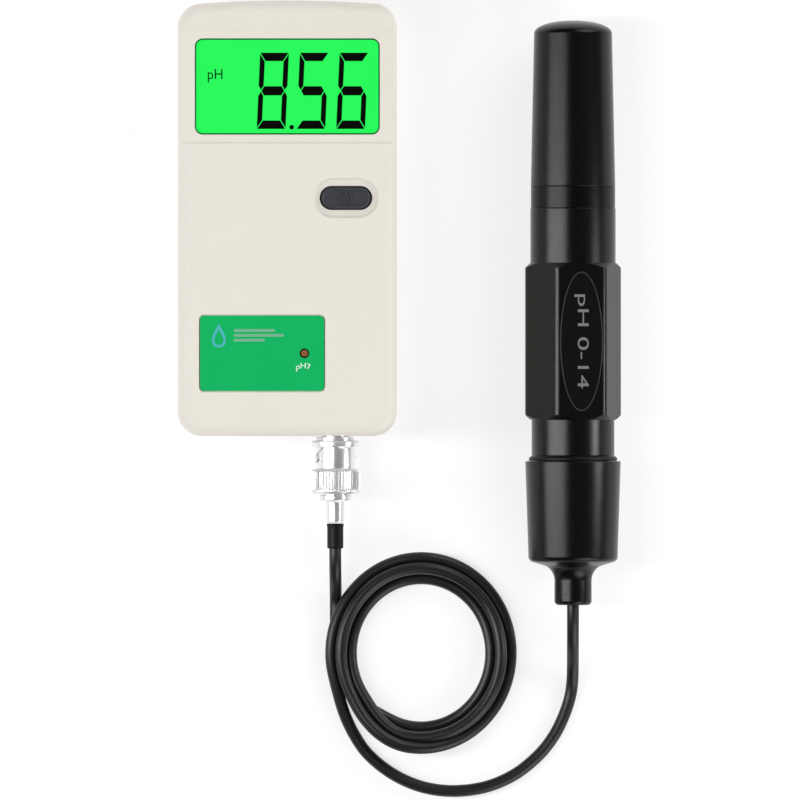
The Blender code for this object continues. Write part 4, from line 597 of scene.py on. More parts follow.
class Finish:
    """The node tree of one material."""

    def __init__(self, name):
        self.material = bpy.data.materials.new(name)
        self.material.use_nodes = True
        self.tree = self.material.node_tree
        self.tree.nodes.clear()
        self.here = self.node("TexCoord", output="Object")

    def node(self, kind, settings=None, inputs=None, output=0):
        """One node: its settings come first, then its sockets' values or links. Gives the named output."""
        made = self.tree.nodes.new("ShaderNode" + kind)
        for name, value in (settings or {}).items():
            if name == "stops":
                for stop, (place, grey) in zip(made.color_ramp.elements, value):
                    stop.position = place
                    stop.color = (grey, grey, grey, 1.0)
            else:
                setattr(made, name, value)
        for name, value in (inputs or {}).items():
            if isinstance(value, Field):
                self.tree.links.new(value.socket, made.inputs[name])
            else:
                made.inputs[name].default_value = value
        return Field(self.tree, made.outputs[output])

    def noise(self, size, detail=2.0, roughness=0.5, vector=None):
        """Noise between 0 and 1 whose patches are about the given size in metres."""
        return self.node(
            "TexNoise",
            {"noise_dimensions": "3D"},
            {
                "Vector": vector or self.here,
                "Scale": 1.0 / size,
                "Detail": detail,
                "Roughness": roughness,
            },
        )

    def cells(self, size):
        """Distance to the nearest of scattered points that lie about the given size apart."""
        return self.node("TexVoronoi", None, {"Vector": self.here, "Scale": 1.0 / size}, "Distance")

    def ramp(self, value, low, high):
        """0 below low, 1 above high and straight between them."""
        return self.node("ValToRGB", {"stops": [(low, 0.0), (high, 1.0)]}, {"Fac": value})

    def mixed(self, first, second, share):
        """A colour between two: the first at a share of 0, the second at 1."""
        return self.node(
            "Mix",
            {"data_type": "RGBA", "clamp_factor": True},
            {0: share, 6: as_colour(first), 7: as_colour(second)},
            2,
        )

    def axis(self, name):
        """One coordinate of the point, in metres."""
        return self.node("SeparateXYZ", None, {0: self.here}, name)

    def stretched(self, scale):
        """The point with each coordinate scaled, for a pattern drawn out along one of them."""
        return self.node("VectorMath", {"operation": "MULTIPLY"}, {0: self.here, 1: scale})

    def bump(self, height, depth):
        """A surface direction for a pattern of the given depth in metres."""
        return self.node("Bump", None, {"Height": height, "Strength": 1.0, "Distance": depth}, "Normal")

    def shaded(self, **sockets):
        """The Principled shader of the finish, with its sockets named in lower case."""
        values = {SOCKETS.get(name, name.replace("_", " ").title()): value for name, value in sockets.items()}
        for name in ("Base Color", "Emission Color"):
            if name in values:
                values[name] = as_colour(values[name])
        self.ends_in(self.node("BsdfPrincipled", None, values))
        return self.material

    def ends_in(self, shader):
        """Joins the last shader to the material's surface."""
        output = self.tree.nodes.new("ShaderNodeOutputMaterial")
        self.tree.links.new(shader.socket, output.inputs["Surface"])


SOCKETS = {"ior": "IOR", "specular_ior_level": "Specular IOR Level"}


def as_colour(value):
    """A colour as a socket takes it: with full opacity, unless it varies."""
    return value if isinstance(value, Field) else (*value[:3], 1.0)


def tones(tone, spread):
    """A colour darkened and lightened by a share."""
    return [tuple(channel * factor for channel in tone[:3]) for factor in (1 - spread, 1 + spread)]


def moulded(name, tone, roughness, grain=0.0004, depth=0.00001, spread=0.04, **more):
    """Moulded plastic or rubber: fine grain, slow changes of tone and faintly uneven gloss."""
    finish = Finish(name)
    fine = finish.noise(grain, 3.0, 0.6)
    broad = finish.noise(grain * 60, 2.0)
    dark, light = tones(tone, spread)
    return finish.shaded(
        base_color=finish.mixed(dark, light, fine * 0.6 + broad * 0.4),
        roughness=roughness - 0.06 + broad * 0.08 + fine * 0.04,
        normal=finish.bump(fine, depth),
        **more,
    )


def plated(name, tone, roughness, scale, metallic=1.0, depth=0.000002, **more):
    """Machined and plated metal: fine marks drawn out along one way and a few dull patches."""
    finish = Finish(name)
    marks = finish.noise(0.0002, 4.0, 0.6, finish.stretched(scale))
    patches = finish.noise(0.003, 3.0)
    dark, light = tones(tone, 0.05)
    return finish.shaded(
        base_color=finish.mixed(dark, light, patches),
        metallic=metallic,
        roughness=roughness + marks * 0.10 + patches * 0.05,
        normal=finish.bump(marks, depth),
        **more,
    )


def ivory_plastic(name):
    """Satin moulded plastic with a spark-eroded grain and the faintest sink marks."""
    finish = Finish(name)
    pits = finish.noise(0.00022, 2.0, 0.7)
    broad = finish.noise(0.02, 2.0)
    dark, light = tones(settings().case.ivory, 0.02)
    return finish.shaded(
        base_color=finish.mixed(dark, light, pits * 0.5 + broad * 0.5),
        roughness=0.50 + broad * 0.06 + pits * 0.05,
        normal=finish.bump(pits + broad * 0.6, 0.000012),
        specular_ior_level=0.4,
    )


def lcd_green(name):
    """Lit display glass: an even glow with a trace of the light block's unevenness and fine cells."""
    finish = Finish(name)
    broad = finish.noise(0.012, 1.0)
    grain = finish.noise(0.0001, 1.0)
    dark, light = tones(settings().display.glow, 0.03)
    glow = finish.mixed(dark, light, broad * 0.8 + grain * 0.2)
    return finish.shaded(
        base_color=(0.004, 0.02, 0.008),
        roughness=0.35 + broad * 0.05,
        specular_ior_level=0.1,
        emission_color=glow,
        emission_strength=1.0,
    )


def window_plastic(name):
    """A clear window: it lets light straight through and mirrors a little, with faint handling haze."""
    finish = Finish(name)
    haze = finish.noise(0.004, 3.0)
    facing = finish.node("Fresnel", None, {"IOR": 1.15})
    clear = finish.node("BsdfTransparent", None, {"Color": (0.97, 1.0, 0.98, 1.0)})
    mirror = finish.node("BsdfGlossy", None, {"Color": (1.0, 1.0, 1.0, 1.0), "Roughness": 0.06})
    finish.ends_in(finish.node("MixShader", None, {0: facing * (0.55 + haze * 0.1), 1: clear, 2: mirror}))
    return finish.material


def board_green(name):
    """Solder mask with lighter copper tracks under it, along the edges of square cells."""
    finish = Finish(name)
    edges = finish.node(
        "TexVoronoi",
        {"feature": "F2", "distance": "CHEBYCHEV"},
        {"Vector": finish.here, "Scale": 260.0, "Randomness": 0.6},
        "Distance",
    )
    tracks = finish.ramp(edges, 0.55, 0.62)
    fine = finish.noise(0.0003, 2.0)
    mask = finish.mixed(linear(16, 78, 44), linear(24, 92, 52), fine)
    return finish.shaded(
        base_color=finish.mixed(mask, linear(52, 128, 70), tracks),
        roughness=0.34 + fine * 0.08,
        normal=finish.bump(tracks, 0.00002),
        coat_weight=0.3,
    )


def striped(name, first, second, axis, pitch, share, roughness, **more):
    """Stripes of two colours across one axis, each a share of the pitch wide."""
    finish = Finish(name)
    place = finish.axis(axis) / pitch
    wave = finish.node("Math", {"operation": "FRACT"}, {0: place})
    fine = finish.noise(0.0003, 2.0)
    dark, light = tones(first, 0.05)
    return finish.shaded(
        base_color=finish.mixed(finish.mixed(dark, light, fine), second, wave.above(1 - share)),
        roughness=roughness + fine * 0.06,
        **more,
    )


def battery_jacket(name):
    """A battery's printed steel jacket: dark body, a bright band at the contact end and thin rules."""
    finish = Finish(name)
    low, high, _ = span("battery")
    along = (finish.axis("Y") - float(low[1])) / float(high[1] - low[1])
    band = 1 - along.above(0.30)
    rule = along.above(0.33) - along.above(0.345)
    fine = finish.noise(0.0005, 3.0)
    body = finish.mixed(linear(38, 40, 46), linear(52, 54, 60), fine)
    return finish.shaded(
        base_color=finish.mixed(body, linear(188, 140, 72), band.most(rule)),
        metallic=0.35 + band * 0.4,
        roughness=0.30 + fine * 0.08,
        normal=finish.bump(fine, 0.000004),
    )


def sponge_foam(name):
    """Open foam: deep pores between pale walls, the pore centres darkened as painted shade."""
    finish = Finish(name)
    pore_depth_and_shade = finish.cells(0.0006)
    fine = finish.noise(0.0004, 3.0)
    return finish.shaded(
        # Pore centres are painted darker than the walls: painted shade in the pores, where the bump also
        # sinks them.
        base_color=finish.mixed(linear(190, 176, 110), linear(232, 222, 160), pore_depth_and_shade + fine * 0.3),
        roughness=0.86 + fine * 0.1,
        normal=finish.bump(pore_depth_and_shade, 0.0003),
    )


def black_plastic(name):
    """Matte black plastic with a speckled grain: most of it dark, with fine lighter specks."""
    finish = Finish(name)
    specks = finish.noise(0.00016, 2.0, 0.75)
    broad = finish.noise(0.008, 2.0)
    bright = finish.ramp(specks, 0.52, 0.72)
    return finish.shaded(
        base_color=finish.mixed(linear(3, 3, 3), linear(18, 18, 19), bright),
        roughness=0.22 + broad * 0.04 + specks * 0.05,
        normal=finish.bump(specks, 0.000014),
        specular_ior_level=0.27,
    )


def black_cable(name):
    """A satin vinyl jacket with faint drawing marks."""
    finish = Finish(name)
    fine = finish.noise(0.0003, 3.0, 0.6)
    broad = finish.noise(0.006, 2.0)
    return finish.shaded(
        base_color=finish.mixed(linear(14, 14, 15), linear(22, 22, 23), fine),
        roughness=0.34 + broad * 0.06 + fine * 0.05,
        normal=finish.bump(fine, 0.000008),
        specular_ior_level=0.45,
    )


def clear_glass(name):
    """Thin blown glass with the faintest tint."""
    finish = Finish(name)
    fine = finish.noise(0.004, 2.0)
    return finish.shaded(
        base_color=finish.mixed(linear(212, 230, 232), linear(226, 240, 240), fine),
        roughness=0.03 + fine * 0.03,
        transmission_weight=1.0,
        ior=1.47,
    )


def label_green(name):
    """A printed polyester label with a light orange-peel surface."""
    finish = Finish(name)
    peel = finish.noise(0.0009, 2.0)
    broad = finish.noise(0.01, 2.0)
    dark, light = tones(settings().label.green, 0.04)
    return finish.shaded(
        base_color=finish.mixed(dark, light, broad * 0.7 + peel * 0.3),
        roughness=0.42 + peel * 0.06,
        normal=finish.bump(peel, 0.000006),
        specular_ior_level=0.15,
    )


ROUND_X = (12.0, 1.0, 12.0)     # marks that run round a part turned about Y
FINISHES = {
    "ivory_plastic": ivory_plastic,
    "window_plastic": window_plastic,
    "lcd_green": lcd_green,
    "light_block": lambda name: moulded(name, linear(214, 240, 220), 0.35, 0.0006),
    "zebra_rubber": lambda name: striped(
        name, linear(200, 120, 150), linear(40, 34, 38), "X", 0.0008, 0.45, 0.6
    ),
    "board_green": board_green,
    "chip_black": lambda name: moulded(name, linear(30, 30, 32), 0.55, 0.0003, 0.00001, 0.12),
    "capacitor_sleeve": lambda name: striped(
        name, linear(40, 52, 88), linear(190, 190, 196), "X", 0.0062, 0.22, 0.35
    ),
    "slate_rubber": lambda name: moulded(
        name, linear(52, 53, 61), 0.55, 0.0003, 0.00001, 0.06, specular_ior_level=0.35
    ),
    "switch_black": lambda name: moulded(name, linear(28, 28, 30), 0.45, 0.0004),
    "trimmer_blue": lambda name: moulded(name, linear(44, 92, 168), 0.40, 0.0005),
    "copper": lambda name: plated(name, linear(196, 128, 84), 0.30, (1.0, 14.0, 1.0)),
    "label_green": label_green,
    "nickel": lambda name: plated(name, linear(238, 238, 240), 0.22, ROUND_X, 0.80),
    "white_insulator": lambda name: moulded(name, linear(236, 236, 230), 0.40, 0.0005),
    "gold_contact": lambda name: plated(name, linear(212, 175, 95), 0.22, ROUND_X),
    "battery_jacket": battery_jacket,
    "snap_black": lambda name: moulded(name, linear(34, 34, 36), 0.50, 0.0004),
    "lead_red": lambda name: moulded(name, linear(176, 30, 30), 0.45, 0.0004),
    "lead_black": lambda name: moulded(name, linear(24, 24, 26), 0.45, 0.0004),
    "screw_steel": lambda name: plated(name, linear(168, 170, 174), 0.30, (10.0, 10.0, 1.0)),
    "black_cable": black_cable,
    "black_plastic": black_plastic,
    "black_gloss": lambda name: moulded(
        name, linear(2, 2, 2), 0.30, 0.001, 0.000002, 0.1, specular_ior_level=0.2
    ),
    "black_rubber": lambda name: moulded(
        name, linear(9, 9, 9), 0.45, 0.0003, 0.00001, 0.1, specular_ior_level=0.2
    ),
    "panel_grey": lambda name: moulded(
        name, linear(6, 6, 6), 0.35, 0.0004, 0.000005, 0.1, specular_ior_level=0.2
    ),
    "clear_glass": clear_glass,
    "white_ceramic": lambda name: moulded(name, linear(238, 234, 224), 0.60, 0.0002, 0.00002),
    "silver": lambda name: plated(name, linear(210, 210, 208), 0.25, ROUND_X),
    "sponge_foam": sponge_foam,
}


def mark_finish(name, tone):
    """Screen-printed ink, slightly uneven; the ring of painted shade round the display window takes the same
    finish.
    """
    found = bpy.data.materials.get(name)
    return found or moulded(name, tone, 0.6, 0.0004, 0.000003, 0.05, specular_ior_level=0.05)


def material(slot):
    """The finish of one material slot, made the first time that it is asked for."""
    name = "finish_" + slot
    return bpy.data.materials.get(name) or FINISHES[slot](name)


def overlaid(piece, body, slot, name, tone):
    """A mark laid over a piece: it rides with its plate, in a finish of its own. Most are print; one is the
    ring of painted shade round the display window.
    """
    finished(piece, body, slot)
    piece.data.materials.clear()
    piece.data.materials.append(mark_finish(name, tone))
    return piece


# --- Pieces ---------------------------------------------------------------------------------------


def coil_plan():
    """The coil seen from above: an ellipse whose half sizes follow the lane that the strand is in.

    Between two lanes the lane number goes from one to the other as 3s^2 - 2s^3 of the share s.
    """
    places, lanes = LANES.T
    degrees = np.linspace(COIL_START, COIL_END, 108)
    step = np.clip(np.searchsorted(places, degrees, "right") - 1, 0, len(LANES) - 2)
    share = (degrees - places[step]) / (places[step + 1] - places[step])
    lane = lanes[step] + (lanes[step + 1] - lanes[step]) * share**2 * (3 - 2 * share)
    half_x, half_y = (np.interp(lane, np.arange(len(STRANDS)), sizes) for sizes in STRANDS.T)
    angle = np.radians(degrees)
    return COIL_CENTRE + np.stack([half_x * np.cos(angle), half_y * np.sin(angle)], axis=-1)


def smooth_route(points, spacing):
    """Points about a spacing apart on the Catmull-Rom curve through the given ones."""
    knots = np.asarray(points)
    knots = np.vstack([2 * knots[0] - knots[1], knots, 2 * knots[-1] - knots[-2]])
    route = []
    for a, b, c, d in zip(knots, knots[1:], knots[2:], knots[3:]):
        steps = max(1, round(np.linalg.norm(c - b) / spacing))
        t = np.linspace(0.0, 1.0, steps, endpoint=False)[:, None]
        curve = 2 * b + (c - a) * t + (2 * a - 5 * b + 4 * c - d) * t**2 + (3 * b - a - 3 * c + d) * t**3
        route.append(curve / 2)
    return np.vstack(route + [knots[-2:-1]])


def even(route, spacing):
    """The same route with its points an even spacing apart."""
    steps = np.linalg.norm(np.diff(route, axis=0), axis=1)
    along = np.concatenate([[0.0], np.cumsum(steps)])
    places = np.linspace(0.0, along[-1], round(along[-1] / spacing) + 1)
    return np.stack([np.interp(places, along, route[:, i]) for i in range(3)], axis=-1)


def blurred(values, width):
    """Values averaged with their neighbours under a bell of the given half width, in points."""
    offsets = np.arange(-3 * width, 3 * width + 1)
    bell = np.exp(-0.5 * (offsets / width) ** 2)
    padded = np.pad(values, 3 * width, mode="edge")
    return np.convolve(padded, bell / bell.sum(), mode="valid")


def lifted(route, below, diameter):
    """Height at which a strand rests: on the table, or across the strands below it.

    Where it passes within a diameter of a lower strand, their centres are a diameter apart.
    """
    away = np.linalg.norm(route[:, None, :2] - below[None, :, :2], axis=2)
    rise = np.sqrt(np.clip(diameter**2 - away**2, 0.0, None))
    on = np.where(away < diameter, below[None, :, 2] + rise, diameter / 2)
    return np.maximum(on.max(axis=1), diameter / 2)


def cable_route(diameter):
    """The whole cable as one smooth line of points.

    From above it is the lead, three turns and the tail. Parts of it are laid one after another, each
    on the table or across those before it: the lead with the start of the first turn, the tail with
    the end of the last turn, the inner lane, the outer lane, and the middle lane in the valley between
    them. The heights are then widened and blurred along the cable, so it bends gently.
    """
    plan = coil_plan()
    flat = np.column_stack([plan, np.full(len(plan), diameter / 2)])
    route = even(smooth_route(np.vstack([LEAD_ROUTE, flat, TAIL_ROUTE]), 0.001), 0.0008)
    start = int(np.argmin(np.linalg.norm(route - flat[0], axis=1)))
    end = len(route) - 1 - int(np.argmin(np.linalg.norm(route[::-1] - flat[-1], axis=1)))
    degrees = np.interp(np.arange(len(route)), [start, end], [COIL_START, COIL_END])
    degrees[:start] = COIL_START - 1
    degrees[end + 1 :] = COIL_END + 1
    given = route[:, 2].copy()
    marks = (COIL_START - 2, 330.0, 604.0, 940.0, 1160.0, COIL_END + 2)
    first, inner, middle, outer, last = (
        np.flatnonzero((degrees >= low) & (degrees < high)) for low, high in zip(marks, marks[1:])
    )
    done = first
    for group in (last, inner, outer, middle):
        route[group, 2] = np.maximum(lifted(route[group], route[done], diameter), given[group])
        done = np.concatenate([done, group])
    wide = 11                   # points on each side over which a hump spreads
    coil = slice(start - 12, end + 30)
    highest = np.max([np.roll(route[:, 2], shift) for shift in range(-wide, wide + 1)], axis=0)
    heights = np.where(highest > diameter / 2 + 0.0001, highest, given)
    blend = np.zeros(len(route))
    blend[coil] = 1.0
    blend = blurred(blend, wide)
    route[:, 2] = given * (1 - blend) + blurred(heights, wide) * blend
    return route


def tube(name, route, radius, count=20):
    """A circle carried along a route: side and top directions come from the route's own direction.

    The side direction is level and square to the route, and the top one is square to both.
    """
    ahead = np.gradient(route, axis=0)
    ahead /= np.linalg.norm(ahead, axis=1)[:, None]
    side = np.cross(ahead, (0.0, 0.0, 1.0))
    side /= np.linalg.norm(side, axis=1)[:, None]
    top = np.cross(side, ahead)
    angle = circle(count)[:, None]
    ring = side[:, None] * np.cos(angle) + top[:, None] * np.sin(angle)
    return surface(name, route[:, None] + radius * ring)


class PH_METER_OT_cord(bpy.types.Operator):
    """Lays the cable from the connector's boot through its coil to the electrode"""

    bl_idname = "ph_meter.cord"
    bl_label = "Cable"

    def execute(self, context):
        part = settings()
        diameter = part.cord.diameter
        route = cable_route(diameter)
        cord = tube("cable", route, diameter / 2)
        finished(cord, PROBE, "black_cable", ("cord_lead", "cord_coil", "cord_tail"))
        [tuple(point) for point in route[::3]] + [tuple(route[-1])]
        return {"FINISHED"}


class PH_METER_OT_front_case(bpy.types.Operator):
    """Makes the front shell with its display strip, button dish, label recess and inner posts"""

    bl_idname = "ph_meter.front_case"
    bl_label = "Front case"

    def execute(self, context):
        part = settings()
        case = part.case
        inset, drop = quarter_round(case.front_edge)
        outlines = [case_outline(value) for value in (0.0, *inset)]
        shell = loft("front_case_shell", outlines, [FRONT_LOW[2], *(FACE - drop)])
        inner_face = FACE - case.wall
        inset, drop = quarter_round(case.front_edge - case.wall / 2, 5)
        outlines = [case_outline(case.wall + value) for value in (0.0, *inset)]
        combined(shell, [loft("hollow", outlines, [FRONT_LOW[2] - OVERCUT, *(inner_face - drop)])])
        posts, holes = [], []
        board_top = span("main_board")[1][2]
        for screw, post, hole, start, past in (
            ("case_screw", case.boss, 0.0016, FRONT_LOW[2], OVERCUT),
            ("board_screw", case.post, 0.0012, board_top, GAP),
        ):
            for index in range(1, 5):
                _, tip, centre = span(f"{screw}_{index}")
                profile = rod(post, start + GAP, inner_face + OVERCUT / 2)
                posts.append(upright(f"{screw}_post", profile, centre))
                holes.append(upright(f"{screw}_hole", rod(hole, start - OVERCUT, tip[2] + past), centre, 24))
        combined(shell, posts, "UNION")
        trimmer_hole = upright(
            "trimmer_hole", rod(part.label.hole, inner_face - OVERCUT, FACE + OVERCUT), TRIMMER_CENTRE
        )
        cutters = [self.band(case), self.window(case), self.dish(case), self.label_recess(), trimmer_hole]
        combined(shell, cutters + holes)
        finished(shell, METER, "ivory_plastic", ("front_case",))
        return {"FINISHED"}

    def band(self, case):
        """The strip's cross-section runs down a rounded step, along the strip and up the other step."""
        half = case.window_height / 2 + case.band_margin
        floor = FACE - case.band_depth
        low_y = WINDOW_CENTRE[1] - half
        high_y = WINDOW_CENTRE[1] + half
        slope = case.band_depth * 0.9
        flare = 4 * case.band_depth
        line = rounded_line(
            [
                (low_y - flare, FACE + OVERCUT),
                (low_y - flare, FACE + GAP / 30),
                (low_y - slope, FACE),
                (low_y, floor),
                (high_y, floor),
                (high_y + slope, FACE),
                (high_y + flare, FACE + GAP / 30),
                (high_y + flare, FACE + OVERCUT),
            ],
            (0.0, 0.0014, 0.0007, 0.0007, 0.0014, 0.0),
            8,
        )
        return along_x("band", line, -HALF_WIDTH - OVERCUT, HALF_WIDTH + OVERCUT)

    def window(self, case):
        """Rounded rectangles up through the face, the last few spreading as a small rounding."""
        edge = 0.00025
        floor = FACE - case.band_depth
        spread, drop = quarter_round(edge, 5)
        outlines = [
            rounded_rectangle(
                case.window_width + 2 * size,
                case.window_height + 2 * size,
                case.window_corner + size,
                WINDOW_CENTRE,
            )
            for size in (0.0, *spread, edge)
        ]
        heights = [floor - 2 * case.wall, *(floor - drop), FACE + OVERCUT]
        return loft("window", outlines, heights)

    def dish(self, case):
        """Long rounds from the button's hole up the dish: the wall curves like a quarter ellipse."""
        lip = 0.0005
        flange = 0.001
        hole = (BUTTON_HIGH - BUTTON_LOW)[:2] - 2 * flange + 2 * GAP
        mouth = np.array((case.dish_width, case.dish_height)) - 2 * lip
        share = np.linspace(0.0, 1.0, 12)
        rise = 1 - np.sqrt(np.clip(1 - share**2, 0.0, None))
        spread, drop = quarter_round(lip, 5)
        bowl = hole + (mouth - hole) * share[:, None]
        sizes = [hole, *bowl, *(mouth + 2 * spread[1:, None]), mouth + 2 * lip]
        levels = [
            FACE - 2 * case.wall,
            *(FACE - case.dish_depth + (case.dish_depth - lip) * rise),
            *(FACE - drop[1:]),
            FACE + OVERCUT,
        ]
        outlines = [rounded_rectangle(*size, size[1] / 2 - 0.00001, BUTTON_CENTRE, 24) for size in sizes]
        return loft("dish", outlines, levels)

    def label_recess(self):
        """Rounded rectangles from the recess's floor to the face, where they spread a little."""
        width, height = (LABEL_HIGH - LABEL_LOW)[:2] + 2 * GAP
        spread, drop = quarter_round(0.00015, 4)
        outlines = [
            rounded_rectangle(width + 2 * size, height + 2 * size, 0.0016 + size, LABEL_CENTRE, 8)
            for size in (0.0, *spread, spread[-1])
        ]
        return loft("label_recess", outlines, [LABEL_LOW[2] - GAP, *(FACE - drop), FACE + OVERCUT])


class PH_METER_OT_back_case(bpy.types.Operator):
    """Makes the back shell with its battery bay, door rails, screw wells and jack hole"""

    bl_idname = "ph_meter.back_case"
    bl_label = "Back case"

    def execute(self, context):
        part = settings()
        case = part.case
        shell = back_solid("back_case_shell", case)
        top = BACK_HIGH[2]
        inset, drop = quarter_round(case.back_edge - case.wall / 2, 5)
        outlines = [case_outline(case.wall + value) for value in (*inset[::-1], 0.0)]
        combined(shell, [loft("hollow", outlines, [*(case.wall + drop[::-1]), top + OVERCUT])])
        half = (DOOR_HIGH[0] - DOOR_LOW[0]) / 2
        bay_half = half - 0.0032
        bay_low = DOOR_LOW[1] + 0.0017
        bay_high = span("battery")[1][1] + GAP
        inside = BACK_HIGH[1] - case.wall / 2
        rail, bay_wall = 0.0022, 0.0016
        joins = [
            block("pad", (-half - rail, bay_low - 0.0038, case.wall / 2), (half + rail, inside, 0.0045)),
            block(
                "bay_wall",
                (-bay_half - bay_wall, bay_low - bay_wall, case.wall / 2 + GAP),
                (bay_half + bay_wall, inside - GAP, top - GAP),
            ),
        ]
        jack_hole = rod(0.0042, LOW_END - OVERCUT, LOW_END + case.wall + OVERCUT)
        cutters = [
            block("bay", (-bay_half, bay_low, -OVERCUT), (bay_half, bay_high, top + OVERCUT)),
            block(
                "notch",
                (-0.007, bay_low - 0.0026, top - 0.008),
                (0.007, bay_low + OVERCUT, top + OVERCUT),
            ),
            door_prism("door_slot", GAP, DOOR_LOW[1] - GAP, HIGH_END + OVERCUT),
            turned("jack_hole", jack_hole, CONNECTOR, 48),
        ]
        shank, flare = 0.0016, 0.0004
        for index in range(1, 5):
            low, high, centre = span(f"case_screw_{index}")
            joins.append(upright(f"boss_{index}", rod(case.boss, case.wall / 2, top - GAP), centre))
            well = (high[0] - low[0]) / 2 + GAP
            sink = low[2] + 0.0019 + GAP
            profile = [(0.0, -OVERCUT), (well + flare, -OVERCUT), (well + flare, 0.0), (well, flare),
                       (well, sink), (shank, sink), (shank, top + OVERCUT), (0.0, top + OVERCUT)]
            cutters.append(upright(f"well_{index}", profile, centre))
        combined(shell, joins, "UNION")
        combined(shell, cutters)
        finished(shell, METER, "ivory_plastic", ("back_case",))
        return {"FINISHED"}


def back_solid(name, case):
    """The back half of the case as a solid: outlines that spread as a quarter circle, then stand."""
    inset, drop = quarter_round(case.back_edge)
    outlines = [case_outline(value) for value in (*inset[::-1], 0.0)]
    return loft(name, outlines, [*drop[::-1], BACK_HIGH[2]])


def door_prism(name, clearance, low_y, high_y):
    """The door's cross-section, a plate with a tongue along each side, carried along Y."""
    groove = 0.0012
    tongue = (DOOR_HIGH[0] - DOOR_LOW[0]) / 2 + clearance
    half = tongue - groove
    low = DOOR_LOW[2] if clearance == 0.0 else -OVERCUT
    step = groove - clearance
    right = [(half, low), (half, step), (tongue, step), (tongue, DOOR_HIGH[2] + clearance)]
    return along_y(name, np.array(right + [(-x, z) for x, z in right[::-1]]), low_y, high_y)


class PH_METER_OT_battery_door(bpy.types.Operator):
    """Makes the sliding battery door with its finger ridges"""

    bl_idname = "ph_meter.battery_door"
    bl_label = "Battery door"

    def execute(self, context):
        part = settings()
        door = door_prism("battery_door_cover", 0.0, DOOR_LOW[1], HIGH_END + OVERCUT)
        combined(door, [back_solid("bounds", part.case)], "INTERSECT")
        grooves = []
        for index in range(6):
            middle = DOOR_LOW[1] + 0.024 + 0.0018 * index
            line = arc((middle, DOOR_LOW[2] - 0.0002), 0.0007, 0.0, math.tau, 25)[:-1]
            grooves.append(along_x(f"groove_{index}", line, -0.0075, 0.0075))
        arrow = np.array([(-0.004, 0.0), (0.004, 0.0), (0.0, 0.0052)]) + (0.0, DOOR_LOW[1] + 0.037)
        grooves.append(slab("arrow", arrow, -OVERCUT, DOOR_LOW[2] + 0.0004))
        combined(door, grooves)
        finished(door, "battery_door", "ivory_plastic", ("battery_door",))
        return {"FINISHED"}


class PH_METER_OT_case_screws(bpy.types.Operator):
    """Makes the four pan-head screws in the back"""

    bl_idname = "ph_meter.case_screws"
    bl_label = "Case screws"

    def execute(self, context):
        for index in range(4):
            low, high, centre = span(f"case_screw_{index + 1}")
            head = (high[0] - low[0]) / 2
            profile = rounded_line(
                [
                    (0.0, low[2]),
                    (head * 0.75, low[2]),
                    (head, low[2] + 0.0006),
                    (head, low[2] + 0.0019),
                    (0.0013, low[2] + 0.0019),
                    (0.0013, high[2] - 0.0013),
                    (0.0, high[2]),
                ],
                (0.0009, 0.0003, 0.0, 0.0, 0.0),
            )
            screw = upright(f"case_screw_head_{index + 1}", profile, centre)
            arms = []
            for name, half_x, half_y in (("x", 0.0017, 0.0003), ("y", 0.0003, 0.0017)):
                outline = rounded_rectangle(2 * half_x, 2 * half_y, 0.00012, centre, 4)
                small = rounded_rectangle(1.3 * half_x, 1.3 * half_y, 0.00008, centre, 4)
                arms.append(loft(f"cross_{name}", [outline, outline, small],
                                 [-OVERCUT, low[2] + 0.0002, low[2] + 0.0012]))
            combined(screw, arms)
            finished(screw, METER, "screw_steel", (f"case_screw_{index + 1}",))
        return {"FINISHED"}


SEGMENTS = {
    "0": "abcdef", "1": "bc", "2": "abged", "3": "abgcd", "4": "fgbc",
    "5": "afgcd", "6": "afgedc", "7": "abc", "8": "abcdefg", "9": "abcdfg",
}


def segment_outlines(width, height):
    """The seven bars of a digit. They meet in slanting joints, each moved in by half of a thin gap."""
    bar = 0.00268
    post = 0.00172
    half = 0.00145
    middle = height / 2
    top = [(0, height), (post, height - bar), (width - post, height - bar), (width, height)]
    upper = [(0, height), (0, middle + half), (post / 2, middle), (post, middle + half), (post, height - bar)]
    across = [
        (post / 2, middle), (post, middle - half), (width - post, middle - half),
        (width - post / 2, middle), (width - post, middle + half), (post, middle + half),
    ]
    shapes = {
        "a": np.array(top),
        "d": np.array(top)[::-1] * (1, -1) + (0, height),
        "g": np.array(across),
        "f": np.array(upper),
        "e": np.array(upper)[::-1] * (1, -1) + (0, height),
        "b": np.array(upper)[::-1] * (-1, 1) + (width, 0),
        "c": np.array(upper) * (-1, -1) + (width, height),
    }
    return {name: grown(outline, -0.00013) for name, outline in shapes.items()}


